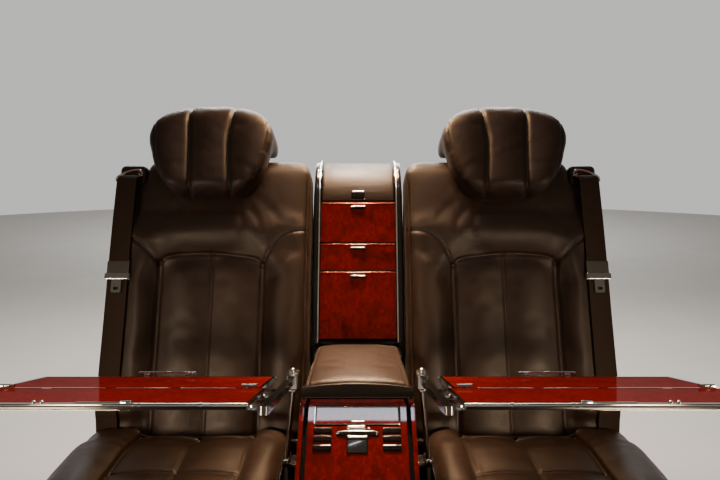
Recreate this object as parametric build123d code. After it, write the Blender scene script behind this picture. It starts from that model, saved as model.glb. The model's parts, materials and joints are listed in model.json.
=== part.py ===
from build123d import *
import os
from math import atan, cos, degrees, radians, sin, tan

# Rear seat unit of a limousine: two powered seats with leg rests, and between them a
# console with a leaning stack of wooden fronts, an armrest and two folding tables.
# Millimetres, +Z up, floor at Z = 0. X = 0 is the centre line and the seats face -Y.
# Left is +X, the left of somebody who sits in the unit.

# Whole unit
lean = 22.0              # backrests and stack lean back from the vertical
junction_y = 130.0       # where the cushion's top meets the backrest's front
junction_z = 380.0
running = 5.0            # room round a moving piece
seat_fit = 0.3           # room between two pieces that lie on each other
pin_fit = 0.05           # radial room of a pin in its bore
over = 1.0               # how far a cut runs past the face it opens
small_r = 4.0            # corners that a hand doesn't notice

# Floor beams, uprights, rails and ears
beam_y = 200.0
beam_depth = 50.0
beam_height = 38.0
beam_half = 560.0
foot_x = 480.0
foot_reach = 45.0        # foot hole, out from the beam's centre line
foot_width = 80.0
foot_length = 85.0
foot_thickness = 8.0
foot_hole_r = 5.5
rail_offset = 150.0      # rails, either side of the cushion's centre
rail_width = 24.0
rail_bottom = 205.0
rail_top = 233.0
rail_front = -305.0
rail_rear = 215.0
upright_width = 34.0
upright_depth = 28.0
ear_thickness = 12.0
ear_r = 18.0
ear_foot_half = 22.0

# Cushion and its pan
cushion_inner = 155.0
cushion_outer = 597.0
cushion_front = -370.0
cushion_bottom = 275.0
cushion_insert_top = 386.0
cushion_gap = 9.0        # from the cushion's rear to the backrest's front plane
cushion_nose_r = 48.0
cushion_nose_rise = 6.0  # the nose's curve starts this far over the bolsters
cushion_toe_r = 18.0
cushion_edge_r = 12.0
insert_half = 124.0      # half the width of the two sewn channels
bolster_rise = 16.0
inner_bolster = {"run": 9.0, "fall": 4.0, "crown_r": 18.0, "edge_r": 30.0}
outer_bolster = {"run": 10.0, "fall": 6.0, "crown_r": 22.0, "edge_r": 36.0}
pan_thickness = 12.0
pan_half = 193.0
pan_front = -345.0
pan_rear = 70.0
pan_corner_r = 20.0
shoe_width = 40.0
shoe_bottom = 215.0
shoe_front = -295.0
shoe_rear = 60.0
shoe_room = 0.5

# Leg rest
leg_pad_half = 195.0
leg_pad_front = -366.0
leg_pad_thickness = 39.7
leg_pad_bottom = 66.0
leg_pad_top = 254.0
leg_pad_r = 12.0
leg_toe_r = 18.0
leg_plate_thickness = 10.0
leg_plate_inset = 10.0
leg_strap_height = 24.0  # the strap across the plate's top that carries the lugs
leg_axis_y = -362.0
leg_axis_z = 262.0
leg_knuckle_r = 9.0
leg_lug_gap = 4.0
leg_lug_thickness = 8.0
leg_ear_root = 40.0      # from the pan's front edge back to the end of the ears
leg_tab_depth = 18.0
leg_pin_r = 5.0

# Backrest: z runs up the front plane from the junction, y runs back from it
back_inner = 115.0
back_outer = cushion_outer - 8.0
back_height = 646.0
pad_thickness = 95.0
pad_bottom = -30.0
pad_toe_r = 12.0
pad_top_r = 36.0
pad_rear_r = 20.0
pad_back_r = 8.0
pad_corner_r = 20.0
back_bolster_rise = 20.0 # bolsters and yoke, in front of the sunk panel
back_bolster_run = 24.0
back_bolster_start = 32.0
back_edge_rise = 12.0    # how far the outer edges stand in front of the panel
back_edge_r = 30.0
back_crown_r = 90.0
yoke_top = 446.0         # above it the yoke falls back, under the headrest
yoke_end = 500.0
yoke_top_r = 70.0
yoke_end_r = 30.0
panel_offset = -4.0      # sunk panel, off the backrest's middle
panel_half = 121.0
panel_side_top = 372.0
panel_side_r = 24.0
panel_arch_half = 56.0
panel_top = 399.0
panel_arch_r = 60.0
shoulder_width = 68.0    # notch at the outer shoulder for the belt guide
shoulder_z = 574.0
shoulder_r = 24.0
inner_shoulder_r = 46.0
shell_depth = 18.0
shell_skin = 10.0
shell_inset = 7.0        # in from the pad's edge, and at its foot
shell_foot_inset = 30.0
shell_bottom = -95.0
shell_waist = (0.0, 14.0)
shell_top = 631.0
shell_shoulder = (70.0, 40.0)
shell_corner_r = 14.0
shell_top_r = 50.0
shell_bays = ((-78.0, 90.0), (104.0, 262.0), (276.0, 434.0), (448.0, 605.0))
shell_rib = 14.0
pivot_y = 60.0
pivot_z = -62.0
pivot_pin_r = 9.0
pivot_lug = 12.0
pivot_lug_r = 18.0
pivot_gap = 1.0

# Headrest
head_bottom = 526.0
head_top = 769.0
head_sides = ((126.0, 592.0, 120.0), (151.0, 674.0, 120.0))  # half width, height, corner radius
head_low = (78.0, 52.0)  # half width and corner radius at the chin
head_high = (140.0, 66.0)
head_front = -78.0
head_rear = 48.0
head_step_z = 656.0      # underside of the part that reaches over the backrest
head_gap = 8.0
head_chin_r = 34.0
head_neck_r = 16.0
head_crown_r = 44.0
head_crown_lean = 18.0
head_post_x = 60.0
head_post_y = 20.0
head_post_r = 6.0
head_post_bottom = 560.0
head_post_room = 10.0    # below the post's end in the backrest

# Belt
belt_width = 48.0
belt_thickness = 1.5
belt_inset = 29.0        # centre of the webbing, in from the backrest's outer edge
belt_y = -20.5           # rear face of the webbing
belt_low_y = -4.0        # front face, down at the junction
belt_bend = (14.0, 29.0)
belt_bend_r = 6.0
guide_height = 46.0
guide_front_height = 34.0
guide_r = 16.0
loop_z = (10.0, 24.0)    # chrome loop, up from the shoulder
loop_bar = 6.0
loop_hook = 4.0          # the bar that closes the loop over the webbing
tongue_z = 332.0
tongue_height = 22.0
tongue_tab = 34.0
tongue_half = 29.0
tongue_slot = 0.5        # room round the webbing in the tongue
anchor_height = 7.0

# Console
side_inner = 97.0        # inner faces of the console's and the stack's sides
side_thickness = 4.7
front_half = 92.0        # half the width of the wooden fronts and of the armrest's base
console_rear = 300.0
rim_z = 505.0
panel_thickness = 8.0
wing_thickness = 8.0
wing_gap = 0.3
wing_foot_z = 280.0
wing_rear_y = -80.0
wing_heel_z = 420.0
wing_top = (10.0, -14.0) # rear corner, back and down from the fascia's top edge
bin_front = 0.0
bin_rear = 190.0
bin_bottom = 395.0
bin_wall = 4.0
bin_rim_drop = 5.0

# Stack: z runs up its face from the foot of the lower door, y runs back from the face
stack_y = 240.0
stack_z = 554.0
stack_depth = 150.0
stack_foot = -10.0
stack_panel = 11.0
front_thickness = 12.0
door_z = (1.0, 162.0)
drawer_z = (167.0, 232.0)
flap_z = (237.0, 337.0)
shelf_front = 17.0
shelf_foot_step = 5.0    # the lowest shelf stands back for the armrest
shelf_thickness = 6.0
shelf_gap = 2.5
front_axis = 6.0         # hinge axis, up and in from a front's lower outer edge
front_pin_r = 3.0
front_pin_end = 4.0      # how far a pin goes into the side
lip_half = 20.0          # the half-oval lip that opens a front
lip_foot_half = 15.0
lip_reach = 5.0
lip_height = 10.0
lip_r = 9.0
lip_edge_r = 2.0
drawer_wall = 4.0
drawer_rear_gap = 16.0
lid_z = 342.5
lid_top = 480.0
lid_thickness = 8.0
lid_face = 2.0
lid_bend_r = 123.0
lid_tail = (10.0, 17.0)  # depth and height of the lid's rear edge
lid_axis = (5.0, 12.0)   # in and down from the lid's upper rear edge
latch_half = 15.0
latch_reach = 4.0
latch_z = (3.0, 15.0)
trim_width = 12.0
trim_face = -4.0
trim_top = 485.0
trim_thickness = 10.0
trim_bend_r = 128.0
trim_inner_r = 110.0

# Armrest
arm_front = -15.5
arm_rear = 226.0
arm_base_bottom = 510.0
arm_base_top = 531.0
arm_pad_front_top = 562.0
arm_pad_rear_top = 550.0
arm_crown = 7.0          # the middle stands this far over the edges
arm_crown_r = 500.0
arm_edge_r = 12.0
arm_front_half = 98.0
arm_rear_half = 91.0
arm_front_r = 9.0
arm_rear_r = 12.0
arm_heel_r = 7.0
arm_lip_half = 107.0
arm_lip_depth = 12.0
arm_lip_bottom = 527.0
arm_lip_top = 557.0
arm_lip_crown = 8.0
arm_lip_crown_r = 560.0
arm_lip_corner_r = 7.0
arm_lip_r = 4.0
arm_axis_y = 205.0
arm_axis_z = 518.0
arm_ear_r = 9.0
arm_pin_r = 4.0

# Fascia: t runs down the slope from its top edge
fascia_y = -32.0
fascia_z = 520.0
fascia_slope = 37.6
nose_r = 60.0            # bend from the slope to the upright nose
fascia_half = 93.0
fascia_thickness = 10.0
fascia_nose_y = -196.0
fascia_foot_z = 300.0
backing_thickness = 6.0
ash_half = 77.0          # the framed flap in the fascia
ash_t = (10.0, 42.0)
ash_thickness = 8.0
ash_axis_in = 4.0        # hinge axis, in from the flap's lower edge
ash_pin_r = 2.0
ash_pin_end = 3.0
ash_end_play = 0.5
tray_depth = 40.0        # the tray behind the flap, under the fascia's face
tray_wall = 2.0
key_x = 64.0
key_width = 34.0
key_height = 10.0
key_rise = 3.0
key_rows = (57.0, 72.5, 90.0)
display_half = 20.0
display_t = (68.0, 101.0)
display_rise = 1.5
grip_half = 38.0
grip_t = 56.0
grip_rise = 5.0

# Tables: y runs down the slope towards the seat, z stands on the wood
table_y = -196.0
table_z = 622.0
table_tilt = 15.8
table_axis_x = 140.0
table_inner = 146.0
table_rear_inner = 154.0
table_outer = 586.0
table_thickness = 9.0
board_step = 1.0         # the board's underside lies this far inside its frame
table_front_edge = -150.0
table_rear_edge = 155.0
rail_strip = 5.0
fold_axis_z = 3.5
fold_gap = 1.0
fold_root = 2.0          # the barrels' feet start this deep in the frame
barrel_r = 3.0
barrel_length = 8.0
barrel_play = 0.3
barrel_inset = (8.0, 32.0)
swing_pin_r = 3.0
knuckle_wall = 1.8
knuckle_web = 2.5
knuckle_length = 24.0
knuckle_play = 1.0
cheek_thickness = 4.0
cheek_starts = (2.0, 110.0)
cheek_reach = 4.5
cheek_z = (-6.0, 3.5)
stop_half = 53.0
stop_x = 358.0
stop_rise = 8.5
stop_overhang = 3.5
stop_bar = 2.6           # the bar that holds a book, on two feet
stop_foot_x = 38.0
stop_foot_half = 4.0
table_arm_inner = 120.0
table_arm_outer = 133.0
table_arm_top = -4.0
table_arm_depth = 12.0
pocket_inner = 112.0
pocket_outer = 149.5
pocket_wall = 2.5
pocket_front = -190.0
pocket_rear = 70.0
pocket_bottom = 130.0
pocket_top = 388.0
bracket_ends = (40.0, 60.0)
bracket_width = 30.0
bracket_z = (20.0, 60.0)
post_foot_x = 140.0
post_top_x = 125.0
post_y = -18.0
post_bar_r = 4.5
post_spacing = 18.0
post_foot_half = 17.0
post_foot_thickness = 6.0
post_overlap = 8.0
cap_bottom = 549.0
cap_height = 26.0
cap_width = 22.0
cap_depth = 34.0
ball_r = 7.0
ball_lift = 3.0


# Ways of making shapes
def outline_of(points, corners):
    return make_face(FilletPolyline(*points, radius=[c[2] for c in corners], close=True))


def prism_x(corners, x0, x1):
    """A side profile of (y, z, corner radius) rows, carried from x0 to x1."""
    face = outline_of([(0, y, z) for y, z, r in corners], corners)
    return Pos(x0, 0, 0) * extrude(face, amount=x1 - x0, dir=(1, 0, 0))


def prism_y(corners, y0, y1):
    """A front profile of (x, z, corner radius) rows, carried from y0 to y1."""
    face = outline_of([(x, 0, z) for x, z, r in corners], corners)
    return Pos(0, y0, 0) * extrude(face, amount=y1 - y0, dir=(0, 1, 0))


def prism_z(corners, z0, z1):
    """A plan of (x, y, corner radius) rows, carried from z0 to z1."""
    face = outline_of([(x, y, 0) for x, y, r in corners], corners)
    return Pos(0, 0, z0) * extrude(face, amount=z1 - z0, dir=(0, 0, 1))


def block(x0, x1, y0, y1, z0, z1):
    return Pos((x0 + x1) / 2, (y0 + y1) / 2, (z0 + z1) / 2) * Box(abs(x1 - x0), y1 - y0, z1 - z0)


def rod_x(x0, x1, y, z, r):
    return Pos((x0 + x1) / 2, y, z) * Rot(0, 90, 0) * Cylinder(r, abs(x1 - x0))


def rod_y(y0, y1, x, z, r):
    return Pos(x, (y0 + y1) / 2, z) * Rot(90, 0, 0) * Cylinder(r, abs(y1 - y0))


def rod_z(z0, z1, x, y, r):
    return Pos(x, y, (z0 + z1) / 2) * Cylinder(r, z1 - z0)


def both_sides(shape):
    """The same piece on the left and on the right, as two solids."""
    return [shape, mirror(shape, about=Plane.YZ)]


def write(name, shapes):
    shapes = shapes if isinstance(shapes, list) else [shapes]
    solids = [s for shape in shapes for s in shape.solids()]
    export_step(solids[0] if len(solids) == 1 else Compound(children=solids), f"parts/{name}.step")


# Frames of the leaning and sloping groups
seat_x = (back_inner + back_outer) / 2
back_half = (back_outer - back_inner) / 2
belt_x = back_half - belt_inset
shell_half = back_half - shell_inset
shell_foot_half = back_half - shell_foot_inset
cushion_x = (cushion_inner + cushion_outer) / 2
back_frame = Pos(seat_x, junction_y, junction_z) * Rot(-lean, 0, 0)
stack_frame = Pos(0, stack_y, stack_z) * Rot(-lean, 0, 0)
fascia_frame = Pos(0, fascia_y, fascia_z) * Rot(fascia_slope, 0, 0)
table_frame = Pos(0, table_y, table_z) * Rot(-table_tilt, 0, 0)


def back_point(y, z):
    """Where a point of the backrest's own frame lies in the unit."""
    return (junction_y + y * cos(radians(lean)) + z * sin(radians(lean)),
            junction_z - y * sin(radians(lean)) + z * cos(radians(lean)))


def stack_point(y, z):
    return (stack_y + y * cos(radians(lean)) + z * sin(radians(lean)),
            stack_z - y * sin(radians(lean)) + z * cos(radians(lean)))


def fascia_point(t, depth):
    """A point t down the slope and this deep under the fascia's face."""
    a = radians(fascia_slope)
    return (fascia_y - t * cos(a) + depth * sin(a), fascia_z - t * sin(a) - depth * cos(a))


def fascia_knee(depth):
    """Where the slope and the upright nose would meet, this deep under the face."""
    a = radians(fascia_slope)
    y = fascia_nose_y + depth
    t = (fascia_y + depth * sin(a) - y) / cos(a)
    return (y, fascia_point(t, depth)[1])


# Floor beams, uprights, ears and rails
def floor_beams():
    beams = []
    for way in (-1, 1):
        y = way * beam_y
        beam = block(-beam_half, beam_half, y - beam_depth / 2, y + beam_depth / 2, 0, beam_height)
        for x in (-foot_x, foot_x):
            ends = sorted((y, y + way * foot_length))
            beam += block(x - foot_width / 2, x + foot_width / 2, *ends, 0, foot_thickness)
            beam -= rod_z(-over, beam_height + over, x, y + way * foot_reach, foot_hole_r)
        beams.append(beam)
    return beams


def rails_and_uprights():
    rails, uprights = [], []
    for offset in (-rail_offset, rail_offset):
        x = cushion_x + offset
        rails += both_sides(block(x - rail_width / 2, x + rail_width / 2, rail_front, rail_rear,
                                  rail_bottom, rail_top))
        for y in (-beam_y, beam_y):
            uprights += both_sides(block(x - upright_width / 2, x + upright_width / 2,
                                         y - upright_depth / 2, y + upright_depth / 2,
                                         beam_height, rail_bottom))
    return rails, uprights


def pivot_ears():
    """Plates on the rear beam that carry the backrests' pivot pins."""
    py, pz = back_point(pivot_y, pivot_z)
    round_top = ear_r * 0.99
    profile = [(beam_y - ear_foot_half, beam_height, 0), (beam_y + ear_foot_half, beam_height, 0),
               (py + ear_r, pz + ear_r, round_top), (py - ear_r, pz + ear_r, round_top)]
    ears = []
    for way in (-1, 1):
        inner = seat_x + way * (shell_foot_half + pivot_gap)
        outer = inner + way * ear_thickness
        ear = prism_x(profile, min(inner, outer), max(inner, outer))
        ear += rod_x(inner, inner - way * (pivot_gap + pivot_lug), py, pz, pivot_pin_r)
        ears += both_sides(ear)
    return ears


# Cushion, pan and leg rest, for the left seat
def rear_plane(z):
    """Y of the cushion's rear at height z, along the backrest's front."""
    return junction_y - cushion_gap / cos(radians(lean)) + (z - junction_z) * tan(radians(lean))


def bolster_edge(bolster, width):
    """Radius of a bolster's outer edge, within what its crown leaves of the width."""
    return min(bolster["edge_r"], width - bolster["crown_r"])


def cushion():
    top = cushion_insert_top + bolster_rise
    inner_crown = seat_x - insert_half - inner_bolster["run"]
    outer_crown = seat_x + insert_half + outer_bolster["run"]
    section = [(cushion_inner, cushion_bottom, cushion_edge_r),
               (cushion_inner, top - inner_bolster["fall"],
                bolster_edge(inner_bolster, inner_crown - cushion_inner)),
               (inner_crown, top, inner_bolster["crown_r"]),
               (seat_x - insert_half, cushion_insert_top, small_r),
               (seat_x + insert_half, cushion_insert_top, small_r),
               (outer_crown, top, outer_bolster["crown_r"]),
               (cushion_outer, top - outer_bolster["fall"],
                bolster_edge(outer_bolster, cushion_outer - outer_crown)),
               (cushion_outer, cushion_bottom, cushion_edge_r)]
    body = prism_y(section, cushion_front - over, rear_plane(top) + over)
    ceiling = top + cushion_nose_rise
    side = [(cushion_front, cushion_bottom, cushion_toe_r), (cushion_front, ceiling, cushion_nose_r),
            (rear_plane(ceiling), ceiling, 0), (rear_plane(cushion_bottom), cushion_bottom, 0)]
    return body & prism_x(side, cushion_inner - over, cushion_outer + over)


def cushion_pan():
    top = cushion_bottom - seat_fit
    bottom = top - pan_thickness
    left, right = cushion_x - pan_half, cushion_x + pan_half
    pan = prism_z([(left, pan_front, pan_corner_r), (right, pan_front, pan_corner_r),
                   (right, pan_rear, pan_corner_r), (left, pan_rear, pan_corner_r)], bottom, top)
    for offset in (-rail_offset, rail_offset):
        x = cushion_x + offset
        slot = rail_width / 2 + shoe_room
        shoe = block(x - shoe_width / 2, x + shoe_width / 2, shoe_front, shoe_rear, shoe_bottom,
                     bottom)
        pan += shoe - block(x - slot, x + slot, shoe_front - over, shoe_rear + over,
                            shoe_bottom - over, rail_top + shoe_room)
    lug_outer = leg_pad_half + leg_lug_gap + leg_lug_thickness
    ear_end = pan_front + leg_ear_root
    round_end = leg_knuckle_r - over
    profile = [(leg_axis_y - leg_knuckle_r, leg_axis_z - leg_knuckle_r, round_end),
               (leg_axis_y - leg_knuckle_r, leg_axis_z + leg_knuckle_r, round_end),
               (ear_end, leg_axis_z + leg_knuckle_r, 0), (ear_end, bottom - over, 0)]
    for way in (-1, 1):
        inner = cushion_x + way * (lug_outer + shoe_room)
        outer = inner + way * leg_lug_thickness
        pan += prism_x(profile, min(inner, outer), max(inner, outer))
        root = cushion_x + way * (pan_half - pan_corner_r / 2)
        pan += block(min(root, outer), max(root, outer), ear_end - leg_tab_depth, ear_end,
                     bottom, leg_axis_z + leg_knuckle_r)
        pan += rod_x(inner, inner - way * (leg_lug_thickness + shoe_room), leg_axis_y, leg_axis_z,
                     leg_pin_r)
    return pan


def leg_rest():
    rear = leg_pad_front + leg_pad_thickness
    pad = prism_x([(leg_pad_front, leg_pad_bottom, leg_toe_r), (leg_pad_front, leg_pad_top, leg_pad_r),
                   (rear, leg_pad_top, small_r), (rear, leg_pad_bottom, leg_pad_r)],
                  cushion_x - leg_pad_half, cushion_x + leg_pad_half)
    start = rear + seat_fit
    end = start + leg_plate_thickness
    strap_top = leg_pad_top - small_r
    strap_bottom = strap_top - leg_strap_height
    plate = block(cushion_x - leg_pad_half + leg_plate_inset, cushion_x + leg_pad_half - leg_plate_inset,
                  start, end, leg_pad_bottom + leg_plate_inset, strap_top)
    outer = leg_pad_half + leg_lug_gap + leg_lug_thickness
    plate += block(cushion_x - outer, cushion_x + outer, start, end, strap_bottom, strap_top)
    round_end = leg_knuckle_r - over
    profile = [(end, strap_bottom, small_r), (end, strap_top, small_r),
               (leg_axis_y + leg_knuckle_r * 4 / 3, leg_axis_z + leg_knuckle_r, small_r),
               (leg_axis_y - leg_knuckle_r, leg_axis_z + leg_knuckle_r, round_end),
               (leg_axis_y - leg_knuckle_r, leg_axis_z - leg_knuckle_r, round_end),
               (leg_axis_y + leg_knuckle_r * 2, strap_bottom, small_r)]
    for way in (-1, 1):
        ends = sorted((cushion_x + way * (outer - leg_lug_thickness), cushion_x + way * outer))
        plate += prism_x(profile, *ends)
    plate -= rod_x(cushion_x - outer - over, cushion_x + outer + over, leg_axis_y, leg_axis_z,
                   leg_pin_r + pin_fit)
    return pad, plate


# Backrest, headrest and belt, for the left seat, in the backrest's own frame
def sunk_panel(grow, y):
    """Outline of the backrest's middle panel, arched at the top and made larger by grow."""
    middle = panel_offset
    half, arch = panel_half + grow, panel_arch_half + grow
    low, side_top, top = back_bolster_start - over, panel_side_top + grow, panel_top + grow
    corners = [(middle - half, low, 0), (middle + half, low, 0), (middle + half, side_top, panel_side_r),
               (middle + arch, top, panel_arch_r), (middle - arch, top, panel_arch_r),
               (middle - half, side_top, panel_side_r)]
    return outline_of([(x, y, z) for x, z, r in corners], corners)


def backrest_pad():
    crown = panel_half + back_bolster_run
    notch = back_half - shoulder_width
    section = [(-back_half, pad_thickness, pad_back_r), (-back_half, -back_edge_rise, back_edge_r),
               (-crown, -back_bolster_rise, back_crown_r), (crown, -back_bolster_rise, back_crown_r),
               (back_half, -back_edge_rise, back_edge_r), (back_half, pad_thickness, pad_back_r)]
    cushioned = prism_x([(over, back_bolster_start, 0), (-back_bolster_rise, back_bolster_start, small_r),
                         (-back_bolster_rise, yoke_top, yoke_top_r), (0, yoke_end, yoke_end_r),
                         (0, back_height - pad_top_r, 0), (over, back_height - pad_top_r, 0)],
                        -back_half, back_half)
    front = prism_z(section, back_bolster_start, back_height - pad_top_r) & cushioned
    slope = back_bolster_run / back_bolster_rise
    front -= loft([sunk_panel(0, 0), sunk_panel(slope * (back_bolster_rise + over),
                                                -back_bolster_rise - over)], ruled=True)
    core = prism_x([(0, pad_bottom, pad_toe_r), (0, back_height, pad_top_r),
                    (pad_thickness, back_height, pad_rear_r), (pad_thickness, pad_bottom, pad_back_r)],
                   -back_half, back_half)
    outline = [(-back_half, pad_bottom, pad_corner_r), (back_half, pad_bottom, pad_corner_r),
               (back_half, shoulder_z, pad_corner_r), (notch, shoulder_z, 0),
               (notch, back_height, shoulder_r), (-back_half, back_height, inner_shoulder_r)]
    pad = (core + front) & prism_y(outline, -back_bolster_rise - over, pad_thickness + over)
    for x in (-head_post_x, head_post_x):
        pad -= rod_z(head_post_bottom - head_post_room, back_height + over, x, head_post_y,
                     head_post_r + over)
    return pad


def backrest_shell():
    start = pad_thickness + seat_fit
    end = start + shell_depth
    low, high = shell_waist
    outline = [(-shell_foot_half, shell_bottom, shell_corner_r),
               (shell_foot_half, shell_bottom, shell_corner_r),
               (shell_foot_half, low, small_r), (shell_half, high, small_r),
               (shell_half, shell_top - shell_shoulder[1], shell_top_r),
               (shell_half - shell_shoulder[0], shell_top, shell_corner_r),
               (-shell_half, shell_top, shell_top_r),
               (-shell_half, high, small_r), (-shell_foot_half, low, small_r)]
    shell = prism_y(outline, start, end)
    for low, high in shell_bays:
        width = (shell_foot_half if low < 0 else shell_half) - shell_rib
        for x0, x1 in ((-width, -shell_rib / 2), (shell_rib / 2, width)):
            shell -= prism_y([(x0, low, shell_corner_r), (x1, low, shell_corner_r),
                              (x1, high, shell_corner_r), (x0, high, shell_corner_r)],
                             start + shell_skin, end + over)
    lug = [(pivot_y - pivot_lug_r, pivot_z - pivot_lug_r, pivot_lug_r - over * 2),
           (pivot_y - pivot_lug_r, pivot_z + pivot_lug_r, pivot_lug_r - over * 2),
           (start + over, pivot_z + pivot_lug_r * 4 / 3, 0), (start + over, shell_bottom + small_r, 0)]
    for way in (-1, 1):
        ends = sorted((way * (shell_foot_half - pivot_lug), way * shell_foot_half))
        shell += prism_x(lug, *ends)
        shell -= rod_x(ends[0] - over, ends[1] + over, pivot_y, pivot_z, pivot_pin_r + pin_fit)
    half = belt_width / 2
    anchor_top = pad_bottom - over
    shell += block(belt_x - half, belt_x + half - over * 2, belt_low_y, start + over,
                   anchor_top - anchor_height, anchor_top)
    return shell


def headrest():
    side = [(head_front, head_bottom, head_chin_r), (-head_gap, head_bottom, head_neck_r),
            (-head_gap, head_step_z, small_r), (head_rear, head_step_z, head_neck_r),
            (head_rear, head_top, head_crown_r), (head_front + head_crown_lean, head_top, head_crown_r)]
    half = [(head_low[0], head_bottom, head_low[1]), *head_sides, (head_high[0], head_top, head_high[1])]
    front = half + [(-x, z, r) for x, z, r in reversed(half)]
    widest = max(x for x, z, r in half)
    pad = prism_x(side, -widest, widest) & prism_y(front, head_front - over, head_rear + over)
    posts = [rod_z(head_post_bottom, head_step_z, x, head_post_y, head_post_r)
             for x in (-head_post_x, head_post_x)]
    return pad, posts


def belt():
    half = belt_width / 2
    front = belt_y - belt_thickness
    slot_z = shoulder_z + loop_z[0] + loop_hook
    low_z = pad_bottom - over
    low_rear = belt_low_y + belt_thickness
    rise = belt_thickness * 0.53
    bend_low, bend_high = belt_bend
    webbing = prism_x([(front, slot_z, 0), (front, bend_high, belt_bend_r),
                       (belt_low_y, bend_low, belt_bend_r), (belt_low_y, low_z, 0),
                       (low_rear, low_z, 0), (low_rear, bend_low + rise, belt_bend_r),
                       (belt_y, bend_high + rise, belt_bend_r), (belt_y, slot_z, 0)],
                      belt_x - half, belt_x + half)
    foot = shoulder_z + shoe_room
    housing = prism_x([(0, foot, loop_bar), (0, shoulder_z + guide_front_height, guide_r),
                       (pad_thickness, shoulder_z + guide_height, pad_rear_r),
                       (pad_thickness, foot, small_r)],
                      back_half - shoulder_width + shoe_room, back_half)
    loop = block(belt_x - half - loop_bar, belt_x + half + loop_bar - over, belt_y - loop_bar, over * 2,
                 shoulder_z + loop_z[0], shoulder_z + loop_z[1])
    loop -= block(belt_x - half - over, belt_x + half + over, belt_y - loop_bar / 2, belt_y + over * 2,
                  shoulder_z + loop_z[0] - over, shoulder_z + loop_z[1] - loop_hook)
    tongue = block(belt_x - tongue_half, belt_x + tongue_half, belt_y - belt_thickness * 5,
                   belt_y + belt_thickness * 2, tongue_z, tongue_z + tongue_height)
    tongue += block(belt_x - half / 2, belt_x + half / 2, belt_y - belt_thickness * 4,
                    belt_y - belt_thickness * 2, tongue_z - tongue_tab, tongue_z + over)
    tongue -= block(belt_x - half - tongue_slot, belt_x + half + tongue_slot, front - tongue_slot,
                    belt_y + tongue_slot, tongue_z - over, tongue_z + tongue_height + over)
    return webbing, housing + loop, tongue


# Console body
def console():
    under = fascia_thickness + backing_thickness
    nose = fascia_nose_y + under
    rear_low = stack_point(stack_depth, stack_foot)
    rear_high = stack_point(lid_face + front_thickness, stack_foot)
    ear_top = arm_axis_z + arm_ear_r
    profile = [(nose, beam_height, 0), (console_rear, beam_height, 0), (*rear_low, 0), (*rear_high, 0),
               (arm_rear + running, ear_top, small_r), (arm_axis_y - arm_ear_r, ear_top, small_r),
               (arm_axis_y - arm_ear_r * 2, rim_z, small_r),
               (*fascia_point(small_r, under), small_r), (*fascia_knee(under), nose_r - under)]
    side = prism_x(profile, side_inner, side_inner + side_thickness)
    side += rod_x(front_half - running, side_inner + over, arm_axis_y, arm_axis_z, arm_pin_r)
    floor = block(-side_inner, side_inner, nose + panel_thickness + seat_fit,
                  console_rear - panel_thickness - seat_fit, beam_height, beam_height + panel_thickness)
    back = prism_x([(console_rear - panel_thickness, beam_height, 0), (console_rear, beam_height, 0),
                    (*rear_low, 0), (rear_low[0] - panel_thickness, rear_low[1], 0)], -side_inner, side_inner)
    front = block(-side_inner, side_inner, nose, nose + panel_thickness, beam_height, fascia_foot_z - over)
    box = block(-side_inner, side_inner, bin_front, bin_rear, bin_bottom, rim_z - bin_rim_drop)
    box -= block(-side_inner + bin_wall, side_inner - bin_wall, bin_front + bin_wall, bin_rear - bin_wall,
                 bin_bottom + bin_wall, rim_z)
    return both_sides(side), [floor, back, front], box


def wings():
    """Wooden cheeks on the outer faces of the console's sides, beside the fascia."""
    x0 = side_inner + side_thickness + wing_gap
    y, z = fascia_point(0, 0)
    rear = y + wing_top[0]
    profile = [(rear, z + wing_top[1], small_r), (y, z, small_r), (*fascia_knee(0), nose_r),
               (fascia_nose_y, wing_foot_z, small_r * 2), (wing_rear_y, wing_foot_z, small_r * 2),
               (rear, wing_heel_z, small_r * 5)]
    return both_sides(prism_x(profile, x0, x0 + wing_thickness))


def fascia_band(depth0, depth1, half, foot):
    """A plate that follows the fascia's slope and turns down at its nose."""
    outer, inner = fascia_knee(depth0), fascia_knee(depth1)
    return prism_x([(*fascia_point(0, depth0), 0), (*outer, nose_r - depth0), (outer[0], foot, 0),
                    (inner[0], foot, 0), (*inner, nose_r - depth1), (*fascia_point(0, depth1), 0)],
                   -half, half)


def fascia():
    tray_half = ash_half + running
    tray = (-ash_t[1] - running, -ash_t[0] + running)
    under = fascia_thickness + backing_thickness
    window = fascia_frame * block(-tray_half, tray_half, *tray, -under * 2, fascia_thickness)
    axis_t = ash_t[1] - ash_axis_in
    pin = tray_half + ash_pin_end
    panel = fascia_band(0, fascia_thickness, fascia_half, fascia_foot_z) - window
    panel -= fascia_frame * rod_x(-pin, pin, -axis_t, -ash_thickness / 2, ash_pin_r + pin_fit)
    backing = fascia_band(fascia_thickness, under, side_inner, fascia_foot_z) - window
    bowl = block(-tray_half - tray_wall, tray_half + tray_wall, tray[0] - tray_wall, tray[1] + tray_wall,
                 -tray_depth, -fascia_thickness - tray_wall)
    bowl -= block(-tray_half, tray_half, *tray, -tray_depth + tray_wall, 0)
    backing += fascia_frame * bowl
    flap = block(-ash_half, ash_half, -ash_t[1], -ash_t[0], -ash_thickness, 0)
    flap += rod_x(-pin + ash_end_play, pin - ash_end_play, -axis_t, -ash_thickness / 2, ash_pin_r)
    keys = []
    for way in (-1, 1):
        for t in key_rows:
            x = way * key_x
            keys.append(fascia_frame * block(x - key_width / 2, x + key_width / 2,
                                             -t - key_height / 2, -t + key_height / 2, 0, key_rise))
    display = block(-display_half, display_half, -display_t[1], -display_t[0], 0, display_rise)
    foot, crest = grip_rise, grip_rise - over
    grip = fascia_frame * prism_x([(-grip_t - foot, 0, 0), (-grip_t - crest, grip_rise, over * 2),
                                   (-grip_t + crest, grip_rise, over * 2), (-grip_t + foot, 0, 0)],
                                  -grip_half, grip_half)
    return panel, backing, fascia_frame * flap, keys + [fascia_frame * display], grip


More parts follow.
